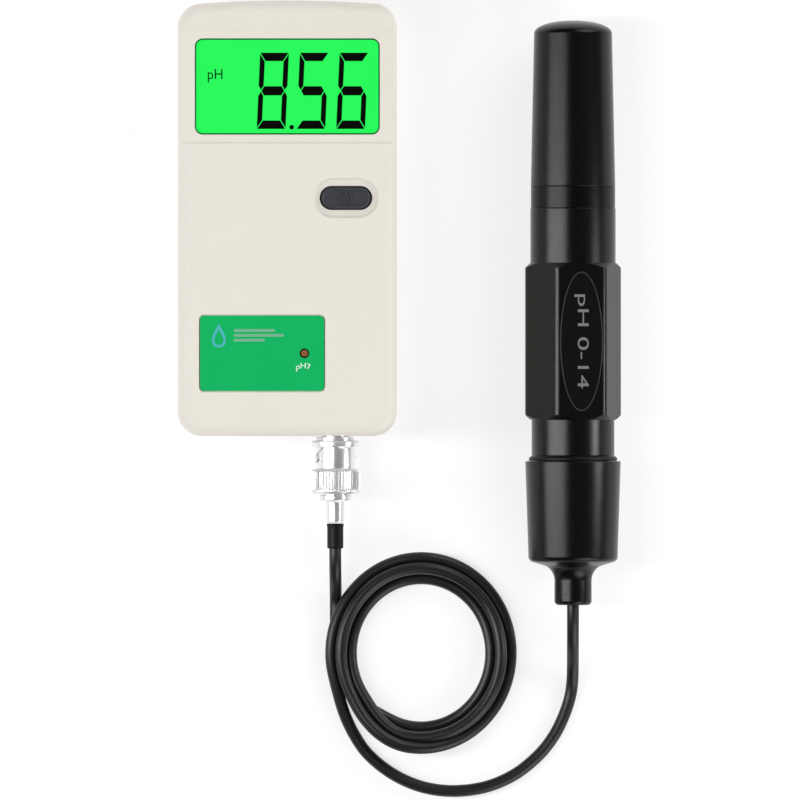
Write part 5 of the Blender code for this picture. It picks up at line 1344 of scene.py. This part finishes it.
class PH_METER_OT_display(bpy.types.Operator):
    """Makes the display's window, a thin ring of painted shade round it, its digits and its unit"""

    bl_idname = "ph_meter.display"
    bl_label = "Display"

    def execute(self, context):
        part = settings()
        case, display = part.case, part.display
        low, high, centre = span("display_window")
        width, height = case.window_width - 2 * GAP, case.window_height - 2 * GAP
        edge, drop = quarter_round(0.0002, 4)
        flange_top = FACE - case.wall - GAP
        flange = rounded_rectangle(high[0] - low[0], high[1] - low[1], case.window_corner, centre)
        outlines = [flange, flange] + [
            rounded_rectangle(width - 2 * value, height - 2 * value, case.window_corner - GAP - value, centre)
            for value in (0.0, *edge)
        ]
        heights = [low[2], flange_top, flange_top, *(high[2] - drop)]
        window = loft("clear_window", outlines, heights)
        finished(window, METER, "window_plastic", ("display_window",))

        # A thin dark green ring round the window's hole, just over its edge: painted shade where the hole's
        # wall shadows the lit display.
        hole = (case.window_width - 0.00004, case.window_height - 0.00004)
        shade_width = 0.00036
        rings = [
            rounded_rectangle(hole[0] - 2 * inset, hole[1] - 2 * inset, case.window_corner - inset, centre)
            for inset in (0.0, 0.0, shade_width, shade_width)
        ]
        levels = [high[2] - 0.0005, high[2] + 0.00003, high[2] + 0.00003, high[2] - 0.0005]
        edge_shade = loft("window_edge_shade", rings, levels, ring=True)
        overlaid(edge_shade, METER, "window_plastic", "finish_border_print", linear(10, 70, 34))

        glass_top = span("lcd_glass")[1][2]
        start = centre[:2] + (-0.00901, -0.01238)
        ink_low, ink_high = glass_top + 0.00002, glass_top + 0.00010
        shapes = segment_outlines(display.digit_width, display.digit_height)
        bars = []
        place = 0
        for letter in display.reading:
            if letter == ".":
                dot = (start[0] + place * display.digit_pitch - 0.00125, start[1] + 0.00062)
                bars.append(slab("dot", arc(dot, 0.00068, 0.0, math.tau, 25)[:-1], ink_low, ink_high))
                continue
            for name in SEGMENTS[letter]:
                outline = shapes[name].copy()
                outline[:, 0] += outline[:, 1] * math.tan(display.slant) + place * display.digit_pitch
                bars.append(slab(f"bar_{place}_{name}", outline + start, ink_low, ink_high))
            place += 1
        digits = merged("display_digits", bars)
        overlaid(digits, METER, "lcd_green", "finish_display_segments", linear(1, 2, 1))
        unit = lettering(
            "display_unit", display.unit, 0.00425, 0.0039,
            centre[:2] + (-0.0209, 0.00315), ink_low, ink_high,
        )
        overlaid(unit, METER, "lcd_green", "finish_display_segments", linear(1, 2, 1))
        return {"FINISHED"}


class PH_METER_OT_power_button(bpy.types.Operator):
    """Makes the oval power button with a raised power mark"""

    bl_idname = "ph_meter.power_button"
    bl_label = "Power button"

    def execute(self, context):
        part = settings()
        low, high, centre = BUTTON_LOW, BUTTON_HIGH, BUTTON_CENTRE
        flange = (high - low)[:2]
        body = flange - 2 * 0.00115
        flange_top = FACE - part.case.wall - GAP
        inset, drop = quarter_round(0.0008, 7)
        rim_top = high[2] - 0.00012
        rings = [(flange, low[2]), (flange, flange_top), (body, flange_top)]
        rings += [(body - 2 * value, rim_top - fall) for value, fall in zip(inset, drop)]
        rings += [(body - 2 * 0.00105, rim_top - 0.00022), (body - 2 * 0.0013, rim_top - 0.00026)]
        outlines = [
            rounded_rectangle(size[0], size[1], size[1] / 2 - 0.00001, centre, 22) for size, _ in rings
        ]
        cap = loft("power_button_cap", outlines, [height for _, height in rings])
        finished(cap, "power_button", "slate_rubber", ("power_button",))
        angle = np.radians(np.linspace(125.0, 415.0, 60))
        level = rim_top - 0.0002
        bow_radius, line = 0.0017, 0.0003
        bow = points(
            centre[0] + bow_radius * np.cos(angle), centre[1] - 0.0002 + bow_radius * np.sin(angle), level
        )
        stem = np.linspace((centre[0], centre[1] + 0.0003, level), (centre[0], centre[1] + 0.0021, level), 8)
        mark = merged("power_mark", [tube("bow", bow, line, 12), tube("stem", stem, line, 12)])
        finished(mark, "power_button", "slate_rubber")
        return {"FINISHED"}


class PH_METER_OT_label(bpy.types.Operator):
    """Makes the green front label with its plain printed marks"""

    bl_idname = "ph_meter.label"
    bl_label = "Front label"

    def execute(self, context):
        part = settings()
        width, height = (LABEL_HIGH - LABEL_LOW)[:2]
        top = LABEL_HIGH[2] - 0.00004
        edge, drop = quarter_round(0.00012, 4)
        corner = 0.0013
        outlines = [
            rounded_rectangle(width - 2 * value, height - 2 * value, corner - value, LABEL_CENTRE, 8)
            for value in (0.0, *edge)
        ]
        plate = loft("front_label", outlines, [LABEL_LOW[2], *(top - drop)])
        hole = upright("hole", rod(part.label.hole, LABEL_LOW[2] - OVERCUT, FACE + OVERCUT), TRIMMER_CENTRE)
        combined(plate, [hole])
        finished(plate, METER, "label_green", ("label_plate",))
        ink = (top - 0.00001, top + 0.00003)
        mark = lettering(
            "calibration_mark", part.label.mark, 0.0042, 0.0021,
            TRIMMER_CENTRE[:2] + (-0.0003, -0.0038), *ink, bend=0.0005,
        )
        overlaid(mark, METER, "label_green", "finish_white_ink", linear(240, 244, 240))
        drop_centre = LABEL_CENTRE[:2] + (-0.0125, 0.0052)
        turn = circle(64)
        shape = 0.0035 * np.stack([-0.82 * np.sin(turn) * np.sin(turn / 2) ** 1.5, np.cos(turn)], axis=-1)
        droplet = slab("droplet", shape + drop_centre, *ink)
        core = slab("core", shape * 0.66 + drop_centre - (0.0, 0.0005), ink[0] - 0.0001, ink[1] + 0.0001)
        combined(droplet, [core])
        droplet.name = "droplet_mark"
        overlaid(droplet, METER, "label_green", "finish_blue_ink", linear(84, 178, 190))
        bars = [
            slab(f"rule_{index}", rounded_rectangle(long, 0.0008, 0.00039, LABEL_CENTRE[:2] + place, 5), *ink)
            for index, (long, place) in enumerate(
                (
                    (0.0120, (-0.0022, 0.0066)),
                    (0.0145, (-0.00095, 0.0052)),
                    (0.0090, (-0.0037, 0.0038)),
                )
            )
        ]
        rules = merged("printed_rules", bars)
        overlaid(rules, METER, "label_green", "finish_pale_ink", linear(122, 176, 146))
        return {"FINISHED"}


def spoke(name, angle, away, radii, reach, count=32):
    """Circles that stand out from the connector's axis, a distance away from the case.

    Each circle's centre lies its reach along the spoke. A point adds the radius times the cosine of its
    own angle round the axis, and times the sine along Y.
    """
    out = np.array((math.cos(angle), 0.0, math.sin(angle)))
    across = np.array((-math.sin(angle), 0.0, math.cos(angle)))
    turn = circle(count)[:, None]
    ring = np.cos(turn) * across + np.sin(turn) * (0.0, 1.0, 0.0)
    foot = np.array((CONNECTOR[0], LOW_END - away, CONNECTOR[2]))
    grid = foot + np.asarray(reach)[:, None, None] * out + np.asarray(radii)[:, None, None] * ring
    return surface(name, grid)


def lug_angles(connector):
    """A name and an angle for each of the two lugs, which stand opposite each other."""
    return [(f"lug_{index}", connector.lug_angle + index * math.pi) for index in range(2)]


class PH_METER_OT_jack(bpy.types.Operator):
    """Makes the bayonet jack with its two lugs"""

    bl_idname = "ph_meter.jack"
    bl_label = "Jack"

    def execute(self, context):
        part = settings()
        low, high, _ = span("bnc_jack")
        outer = radius_of("bnc_jack")
        bore = outer - 0.0007
        stub = 0.0039
        inner = radius_of("jack_insulator") + GAP
        wall_end = LOW_END - GAP - part.case.wall
        profile = rounded_line(
            [
                (inner, high[1]),
                (stub, high[1]),
                (stub, LOW_END - GAP),
                (outer, LOW_END - GAP),
                (outer, LOW_END - 0.0012),
                (outer - 0.0002, LOW_END - 0.0013),
                (outer - 0.0002, low[1]),
                (bore, low[1]),
                (bore, wall_end),
                (inner, wall_end),
            ],
            (0.0002, 0.0, 0.0001, 0.0001, 0.0, 0.0002, 0.0001, 0.0, 0.0),
        )
        jack = turned("bayonet_jack", profile, CONNECTOR, 72, ring=True)
        radius, drop = quarter_round(0.0002, 4)
        lug = 0.001
        reach = [bore + GAP, *(outer + 0.00065 - drop)]
        lugs = [
            spoke(name, angle, part.connector.lug_at, [lug, *(lug - radius)], reach)
            for name, angle in lug_angles(part.connector)
        ]
        combined(jack, lugs, "UNION")
        finished(jack, METER, "nickel", ("bnc_jack",))
        return {"FINISHED"}


class PH_METER_OT_coupling_nut(bpy.types.Operator):
    """Makes the knurled coupling nut with its helical bayonet slots"""

    bl_idname = "ph_meter.coupling_nut"
    bl_label = "Coupling nut"

    def execute(self, context):
        part = settings()
        connector = part.connector
        low, high, _ = span("bnc_nut")
        start = high[1]
        bore, rim, barrel, knurl = 0.0051, 0.0068, 0.00565, radius_of("bnc_nut")
        barrel_start = start - 0.0019
        knurl_start = barrel_start - 0.0063
        profile = rounded_line(
            [
                (bore, low[1] + 0.0017),
                (bore, start),
                (rim, start),
                (rim, barrel_start),
                (barrel, barrel_start),
                (barrel, knurl_start),
                (knurl - 0.0009, knurl_start),
                (knurl, knurl_start - 0.0007),
                (knurl, low[1] + 0.0014),
                (knurl - 0.0003, low[1] + 0.0012),
                (knurl - 0.0003, low[1] + 0.0007),
                (knurl - 0.0009, low[1]),
                (0.0044, low[1]),
                (0.0044, low[1] + 0.0017),
            ],
            (0.0002, 0.0004, 0.0003, 0.0003, 0.0003, 0.0002, 0.0004, 0.0001, 0.0, 0.0001, 0.0002, 0.0002),
        )
        radius, along = profile[:, :1], profile[:, 1:]
        angle = circle(connector.knurls * 10)
        ridges = np.abs((angle * connector.knurls / math.tau) % 1.0 - 0.5) * 2
        ridges = np.clip((1 - ridges) * 1.6, 0.0, 1.0)
        gripped = (along < knurl_start) & (along > low[1] + 0.0010) & (radius > barrel)
        fade = np.clip((knurl_start - along) / 0.0007, 0.0, 1.0) * gripped
        depth = connector.knurl_depth * (1 - ridges) * fade
        nut = surface("coupling_nut", around(CONNECTOR, radius - depth, angle, along), ring=True)
        cutters = []
        for name, lug in lug_angles(connector):
            cutters.append(self.slot(name + "_slot", lug, connector.lug_at))
            cutters.append(spoke(name + "_hole", lug, connector.lug_at, (0.0013, 0.0013), (0.0046, 0.0070)))
        combined(nut, cutters)
        finished(nut, "bnc_nut", "nickel", ("bnc_nut",))
        return {"FINISHED"}

    def slot(self, name, start_angle, away):
        """A bar that follows a lug's way: its angle falls evenly with its travel towards the rim."""
        half = 0.0013
        barrel = 0.00565
        travel = np.linspace(0.0, 0.0062, 40)[:, None]
        lead = math.radians(90.0) / 0.0052
        run = lead * barrel
        slant = math.hypot(run, 1.0)
        radius = np.array((0.0047, 0.00605, 0.00605, 0.0047))
        side = np.array((-1, -1, 1, 1))
        angle = start_angle - lead * travel + side * half / slant / barrel
        return surface(
            name, around(CONNECTOR, radius, angle, LOW_END - away + travel + side * half * run / slant)
        )


class PH_METER_OT_plug(bpy.types.Operator):
    """Makes the plug's body, its crimp ferrule and the cable boot"""

    bl_idname = "ph_meter.plug"
    bl_label = "Plug"

    def execute(self, context):
        low, high, _ = span("plug_body")
        cable_bore = 0.00175
        cavity = low[1] + 0.0021
        shoulder = span("wave_washer")[1][1] + GAP
        ring_start = low[1] + 0.0016
        profile = rounded_line(
            [
                (0.0028, high[1]),
                (0.0038, high[1]),
                (0.0038, shoulder + 0.0018),
                (0.0048, shoulder + 0.0018),
                (0.0048, shoulder),
                (0.0041, shoulder),
                (0.0041, ring_start),
                (0.0046, ring_start),
                (0.0046, low[1]),
                (cable_bore, low[1]),
                (cable_bore, cavity),
                (0.0028, cavity),
            ],
            (0.0002, 0.0, 0.0001, 0.0001, 0.0, 0.0, 0.0002, 0.0003, 0.0, 0.0, 0.0),
        )
        body = turned("plug_shell", profile, CONNECTOR, 72, ring=True)
        finished(body, PROBE, "nickel", ("plug_body",))
        low, high, _ = span("crimp_ferrule")
        radius = radius_of("crimp_ferrule")
        profile = rounded_line(
            [(cable_bore, high[1]), (radius, high[1]), (radius, low[1]), (cable_bore, low[1])],
            (0.00025, 0.00025),
        )
        ferrule = turned("ferrule", profile, CONNECTOR, 72, ring=True)
        finished(ferrule, PROBE, "nickel", ("crimp_ferrule",))
        low, high, _ = span("cable_boot")
        radius = radius_of("cable_boot")
        profile = rounded_line(
            [(0.0, high[1]), (radius, high[1]),
             (radius - 0.0002, high[1] - 0.0012), (radius - 0.0002, low[1]),
             (0.0, low[1])],
            (0.0003, 0.0008, 0.0005),
        )
        boot = turned("boot", profile, CONNECTOR, 64)
        finished(boot, PROBE, "black_rubber", ("cable_boot",))
        return {"FINISHED"}


class PH_METER_OT_electrode_ends(bpy.types.Operator):
    """Makes the electrode's strain relief, its tapered sleeve and the ring above it"""

    bl_idname = "ph_meter.electrode_ends"
    bl_label = "Relief, sleeve and ring"

    def execute(self, context):
        low, high, _ = span("strain_relief")
        sleeve_low, sleeve_high, _ = span("sleeve")
        stub, flare, flange = 0.0054, 0.0079, 0.0085
        top = sleeve_low[1] - 0.00005
        angle = np.linspace(0.0, math.radians(65.0), 14)
        wide = (flare - stub) / (1 - math.cos(angle[-1]))
        tall = 0.0042 / math.sin(angle[-1])
        curve = np.stack([stub + wide * (1 - np.cos(angle)), top - 0.0042 + tall * np.sin(angle)], axis=-1)
        end = rounded_line([(0.0, low[1]), (stub, low[1]), (stub, low[1] + 0.004)], (0.0012,), 8)
        profile = np.vstack(
            [
                end[:-1],
                curve,
                [(stub, top), (stub, high[1] - 0.0022), (flange, high[1] - 0.0022), (flange, high[1]),
                 (0.0, high[1])],
            ]
        )
        relief = turned("cable_relief", profile, ELECTRODE, 80)
        finished(relief, PROBE, "black_plastic", ("strain_relief",))
        mouth = radius_of("sleeve")
        small = mouth - 0.00085
        wall = 0.0022
        profile = rounded_line(
            [
                (stub + GAP, sleeve_low[1] + wall),
                (stub + GAP, sleeve_low[1]),
                (0.0080, sleeve_low[1]),
                (small - 0.0001, sleeve_low[1] + 0.0015),
                (mouth, sleeve_high[1]),
                (mouth - wall, sleeve_high[1]),
                (small - wall, sleeve_low[1] + wall + 0.0008),
            ],
            (0.0, 0.002, 0.0016, 0.0003, 0.0),
            8,
        )
        sleeve = turned("sleeve_barrel", profile, ELECTRODE, 112, ring=True)
        finished(sleeve, PROBE, "black_plastic", ("sleeve",))
        low, high, _ = span("o_ring")
        radius = radius_of("o_ring")
        bore = 0.0108
        start, end = sleeve_high[1] + 0.00005, high[1] + GAP - 0.00005
        profile = rounded_line(
            [
                (bore, start),
                (radius, start),
                (radius, low[1] + 0.0006),
                (0.01205, end),
                (bore, end),
            ],
            (0.0003, 0.0005, 0.0001),
            8,
        )
        seal = turned("sealing_ring", profile, ELECTRODE, 96, ring=True)
        finished(seal, PROBE, "black_rubber", ("o_ring",))
        return {"FINISHED"}


class PH_METER_OT_electrode_body(bpy.types.Operator):
    """Makes the hexagonal body with its neck, collar, bores and oval panel"""

    bl_idname = "ph_meter.electrode_body"
    bl_label = "Electrode body"

    def execute(self, context):
        part = settings()
        sizes = part.electrode
        low, high, _ = span("electrode_body")
        neck_start = span("o_ring")[1][1] + GAP
        hex_start = neck_start + 0.0104
        collar_start = hex_start + 0.0455
        collar, neck, spigot = 0.01245, 0.012, 0.0105
        corner = sizes.flats / math.sqrt(3)
        face = math.pi / 2 - sizes.tilt
        hexagon = arc((ELECTRODE[0], ELECTRODE[2]), corner, face + math.pi / 6, face + 11 * math.pi / 6, 6)
        seam = (hexagon[-1] + hexagon[0]) / 2
        outline = rounded_line(np.vstack([seam, hexagon, seam]), (sizes.hex_edge,) * 6, 9)[:-1]
        body = along_y("hexagon_body", outline, hex_start - OVERCUT, collar_start + OVERCUT)
        slope = math.tan(math.radians(42.0))
        wide = corner + OVERCUT
        reach = (wide - collar) * slope
        barrel = turned(
            "barrel",
            [(0.0, hex_start), (collar, hex_start), (wide, hex_start + reach), (wide, collar_start - reach),
             (collar, collar_start), (0.0, collar_start)],
            ELECTRODE,
            180,
        )
        combined(body, [barrel], "INTERSECT")
        shaft = turned(
            "shaft",
            rounded_line(
                [(0.0, low[1]), (spigot, low[1]), (spigot, neck_start), (neck, neck_start),
                 (neck, hex_start + GAP), (0.9 * sizes.flats / 2, hex_start + GAP),
                 (0.9 * sizes.flats / 2, collar_start - GAP), (collar - 0.0001, collar_start - GAP),
                 (collar - 0.0001, high[1]), (0.0, high[1])],
                (0.0003, 0.0, 0.0002, 0.0, 0.0, 0.0, 0.0, 0.0002),
            ),
            ELECTRODE,
            112,
        )
        combined(body, [shaft], "UNION")
        stem_start = span("electrode_stem")[0][1]
        stem_radius = radius_of("electrode_stem") + GAP
        wire_room, throat, throat_start = 0.0078, 0.0032, stem_start - 0.012
        bore = turned(
            "bore",
            [(0.0, low[1] - OVERCUT), (wire_room, low[1] - OVERCUT), (wire_room, throat_start),
             (throat, throat_start), (throat, stem_start - GAP), (stem_radius, stem_start - GAP),
             (stem_radius, high[1] + OVERCUT), (0.0, high[1] + OVERCUT)],
            ELECTRODE,
            48,
        )
        half_x, half_y = 0.00635, 0.0202
        middle = (hex_start + collar_start) / 2
        room = ellipse(half_x + GAP / 2, half_y + GAP / 2)
        recess = self.on_face(sizes, "recess", [room, room], (-0.0006, OVERCUT), middle)
        combined(body, [bore, recess])
        finished(body, PROBE, "black_plastic", ("electrode_body",), sharp=28.0)
        rim_width = 0.00035
        outer, inner = ellipse(half_x, half_y), ellipse(half_x - rim_width, half_y - rim_width)
        panel = self.on_face(sizes, "name_panel", [outer, outer], (-GAP, -0.00005), middle)
        finished(panel, PROBE, "panel_grey", ("oval_panel",))
        rim = self.on_face(
            sizes,
            "panel_rim",
            [outer, outer, inner, inner],
            (-0.0001, 0.00008, 0.00006, -0.0001),
            middle,
            ring=True,
        )
        overlaid(rim, PROBE, "panel_grey", "finish_panel_rim", linear(58, 58, 59))
        mark = lettering("panel_mark", sizes.mark, 0.0272, 0.0043, (0.0, 0.0), 0.0, 0.00006)
        x, y, z = corners_of(mark.data).T
        mark.data.vertices.foreach_set("co", self.laid(sizes, points(y, -x, z), middle).ravel())
        overlaid(mark, PROBE, "panel_grey", "finish_grey_ink", linear(118, 118, 120))
        return {"FINISHED"}

    def laid(self, sizes, flat, middle):
        """Flat points on the hexagon's upper face: X across it, Y along the electrode, Z out of it."""
        out = np.array((math.sin(sizes.tilt), 0.0, math.cos(sizes.tilt)))
        across = np.array((math.cos(sizes.tilt), 0.0, -math.sin(sizes.tilt)))
        centre = np.array((ELECTRODE[0], middle, ELECTRODE[2]))
        reach = sizes.flats / 2 + flat[..., 2:]
        return centre + flat[..., :1] * across + flat[..., 1:2] * (0.0, 1.0, 0.0) + reach * out

    def on_face(self, sizes, name, outlines, levels, middle, ring=False):
        """A solid through outlines on the hexagon's upper face, each a level above it."""
        outlines = np.asarray(outlines)
        grid = points(outlines[..., 0], outlines[..., 1], np.asarray(levels)[:, None])
        return surface(name, self.laid(sizes, grid, middle), ring)


class PH_METER_OT_cap(bpy.types.Operator):
    """Makes the glossy seal band and the tapered storage cap with its domed end"""

    bl_idname = "ph_meter.cap"
    bl_label = "Seal band and cap"

    def execute(self, context):
        low, high, _ = span("seal_band")
        cap_low, cap_high, _ = span("electrode_cap")
        start, band_end = low[1] - 0.00025, cap_low[1] - 0.00005
        mouth = radius_of("electrode_cap")
        radius = mouth - 0.00004
        bore = radius_of("electrode_stem") + GAP
        profile = rounded_line(
            [(bore, start), (radius, start), (radius, band_end), (0.0092, band_end), (0.0092, high[1]),
             (bore, high[1])],
            (0.0001, 0.0001, 0.0, 0.0003),
        )
        band = turned("seal_band_ring", profile, ELECTRODE, 112, ring=True)
        finished(band, PROBE, "black_gloss", ("seal_band",))
        top, dome, cavity = 0.0113, 0.0037, 0.0096
        angle = np.linspace(0.0, math.pi / 2, 20)
        end = np.stack([top * np.sin(angle) ** 0.94, cap_high[1] - dome * (1 - np.cos(angle))], axis=-1)
        pocket = cap_high[1] - 0.0055
        rest = rounded_line(
            [tuple(end[-1]), (mouth, cap_low[1]), (cavity, cap_low[1]), (cavity, pocket), (0.0, pocket)],
            (0.0002, 0.0003, 0.0004),
        )
        cap = turned("storage_cap", np.vstack([end, rest[1:]]), ELECTRODE, 112)
        finished(cap, "electrode_cap", "black_plastic", ("electrode_cap",))
        return {"FINISHED"}


class PH_METER_OT_inner_parts(bpy.types.Operator):
    """Gives the parts that keep their own shape their finishes"""

    bl_idname = "ph_meter.inner_parts"
    bl_label = "Inner parts"

    def execute(self, context):
        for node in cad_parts.values():
            for entry in node.material_slots:
                slot = entry.material.name.split(".")[0]
                if slot in FINISHES:
                    entry.material = material(slot)
        return {"FINISHED"}


class PH_METER_OT_stage(bpy.types.Operator):
    """Sets the pale table, the soft lamps and the camera above"""

    bl_idname = "ph_meter.stage"
    bl_label = "Stage"

    def execute(self, context):
        part = settings()
        stage = part.stage
        scene = bpy.context.scene
        half = 1.5
        table = slab(
            "table",
            np.array([(-half, -half), (half, -half), (half, half), (-half, half)])
            + (stage.centre_x, stage.centre_y),
            -0.01,
            -0.0001,
        )
        finish = Finish("table_top")
        broad = finish.noise(0.3, 1.0)
        finish.shaded(
            base_color=finish.mixed((0.34, 0.34, 0.34), (0.36, 0.36, 0.36), broad),
            roughness=0.8 + broad * 0.1,
            specular_ior_level=0.1,
            emission_color=(1.0, 1.0, 1.0),
            emission_strength=stage.table_glow,
        )
        table.data.materials.append(finish.material)

        world = bpy.data.worlds.new("studio")
        scene.world = world
        world.use_nodes = True
        sky = world.node_tree.nodes["Background"]
        sky.inputs["Color"].default_value = (1.0, 1.0, 1.0, 1.0)
        sky.inputs["Strength"].default_value = stage.sky

        target = np.array((stage.centre_x, stage.centre_y, 0.0))
        for name, place, size, power in (
            ("top_lamp", (0.75, 0.95, 0.62), (1.0, 1.0), 9.0),
            ("low_lamp", (0.75, -0.95, 0.62), (1.0, 1.0), 9.0),
            ("left_lamp", (-0.70, 0.0, 0.72), (0.16, 1.0), 7.5),
            ("right_lamp", (0.269, 0.0, 0.125), (0.06, 0.06), 0.20),
        ):
            data = bpy.data.lights.new(name, "AREA")
            data.shape = "RECTANGLE"
            data.size, data.size_y = size
            data.energy = power
            lamp = bpy.data.objects.new(name, data)
            scene.collection.objects.link(lamp)
            lamp.location = target + place
            lamp.rotation_euler = (-Vector(place)).to_track_quat("-Z", "Y").to_euler()

        camera = bpy.data.cameras.new("camera")
        camera.lens = stage.lens
        camera.sensor_width = 36.0
        camera.clip_end = 20.0
        viewer = bpy.data.objects.new("camera", camera)
        scene.collection.objects.link(viewer)
        away = stage.field * stage.lens / camera.sensor_width
        viewer.location = (stage.centre_x, stage.centre_y, away + 0.013)
        scene.camera = viewer
        scene.view_settings.view_transform = "Standard"
        return {"FINISHED"}


# --- Sidebar --------------------------------------------------------------------------------------

OPERATORS = (
    PH_METER_OT_stage,
    PH_METER_OT_cord,
    PH_METER_OT_inner_parts,
    PH_METER_OT_front_case,
    PH_METER_OT_back_case,
    PH_METER_OT_battery_door,
    PH_METER_OT_case_screws,
    PH_METER_OT_display,
    PH_METER_OT_power_button,
    PH_METER_OT_label,
    PH_METER_OT_jack,
    PH_METER_OT_coupling_nut,
    PH_METER_OT_plug,
    PH_METER_OT_electrode_ends,
    PH_METER_OT_electrode_body,
    PH_METER_OT_cap,
)


class PH_METER_PT_sidebar(bpy.types.Panel):
    """Lists the steps that make the part"""

    bl_idname = "PH_METER_PT_sidebar"
    bl_label = "pH Meter"
    bl_space_type = "VIEW_3D"
    bl_region_type = "UI"
    bl_category = "pH Meter"

    def draw(self, context):
        column = self.layout.column(align=True)
        for operator in OPERATORS:
            column.operator(operator.bl_idname)


CLASSES = (
    CaseSettings,
    DisplaySettings,
    LabelSettings,
    ConnectorSettings,
    ElectrodeSettings,
    CordSettings,
    StageSettings,
    PartSettings,
    *OPERATORS,
    PH_METER_PT_sidebar,
)


def register():
    for entry in CLASSES:
        bpy.utils.register_class(entry)
    bpy.types.Scene.ph_meter = PointerProperty(type=PartSettings)


def unregister():
    del bpy.types.Scene.ph_meter
    for entry in reversed(CLASSES):
        bpy.utils.unregister_class(entry)


def main():
    register()
    for operator in OPERATORS:
        group, name = operator.bl_idname.split(".")
        getattr(getattr(bpy.ops, group), name)()


if __name__ == "__main__":
    main()
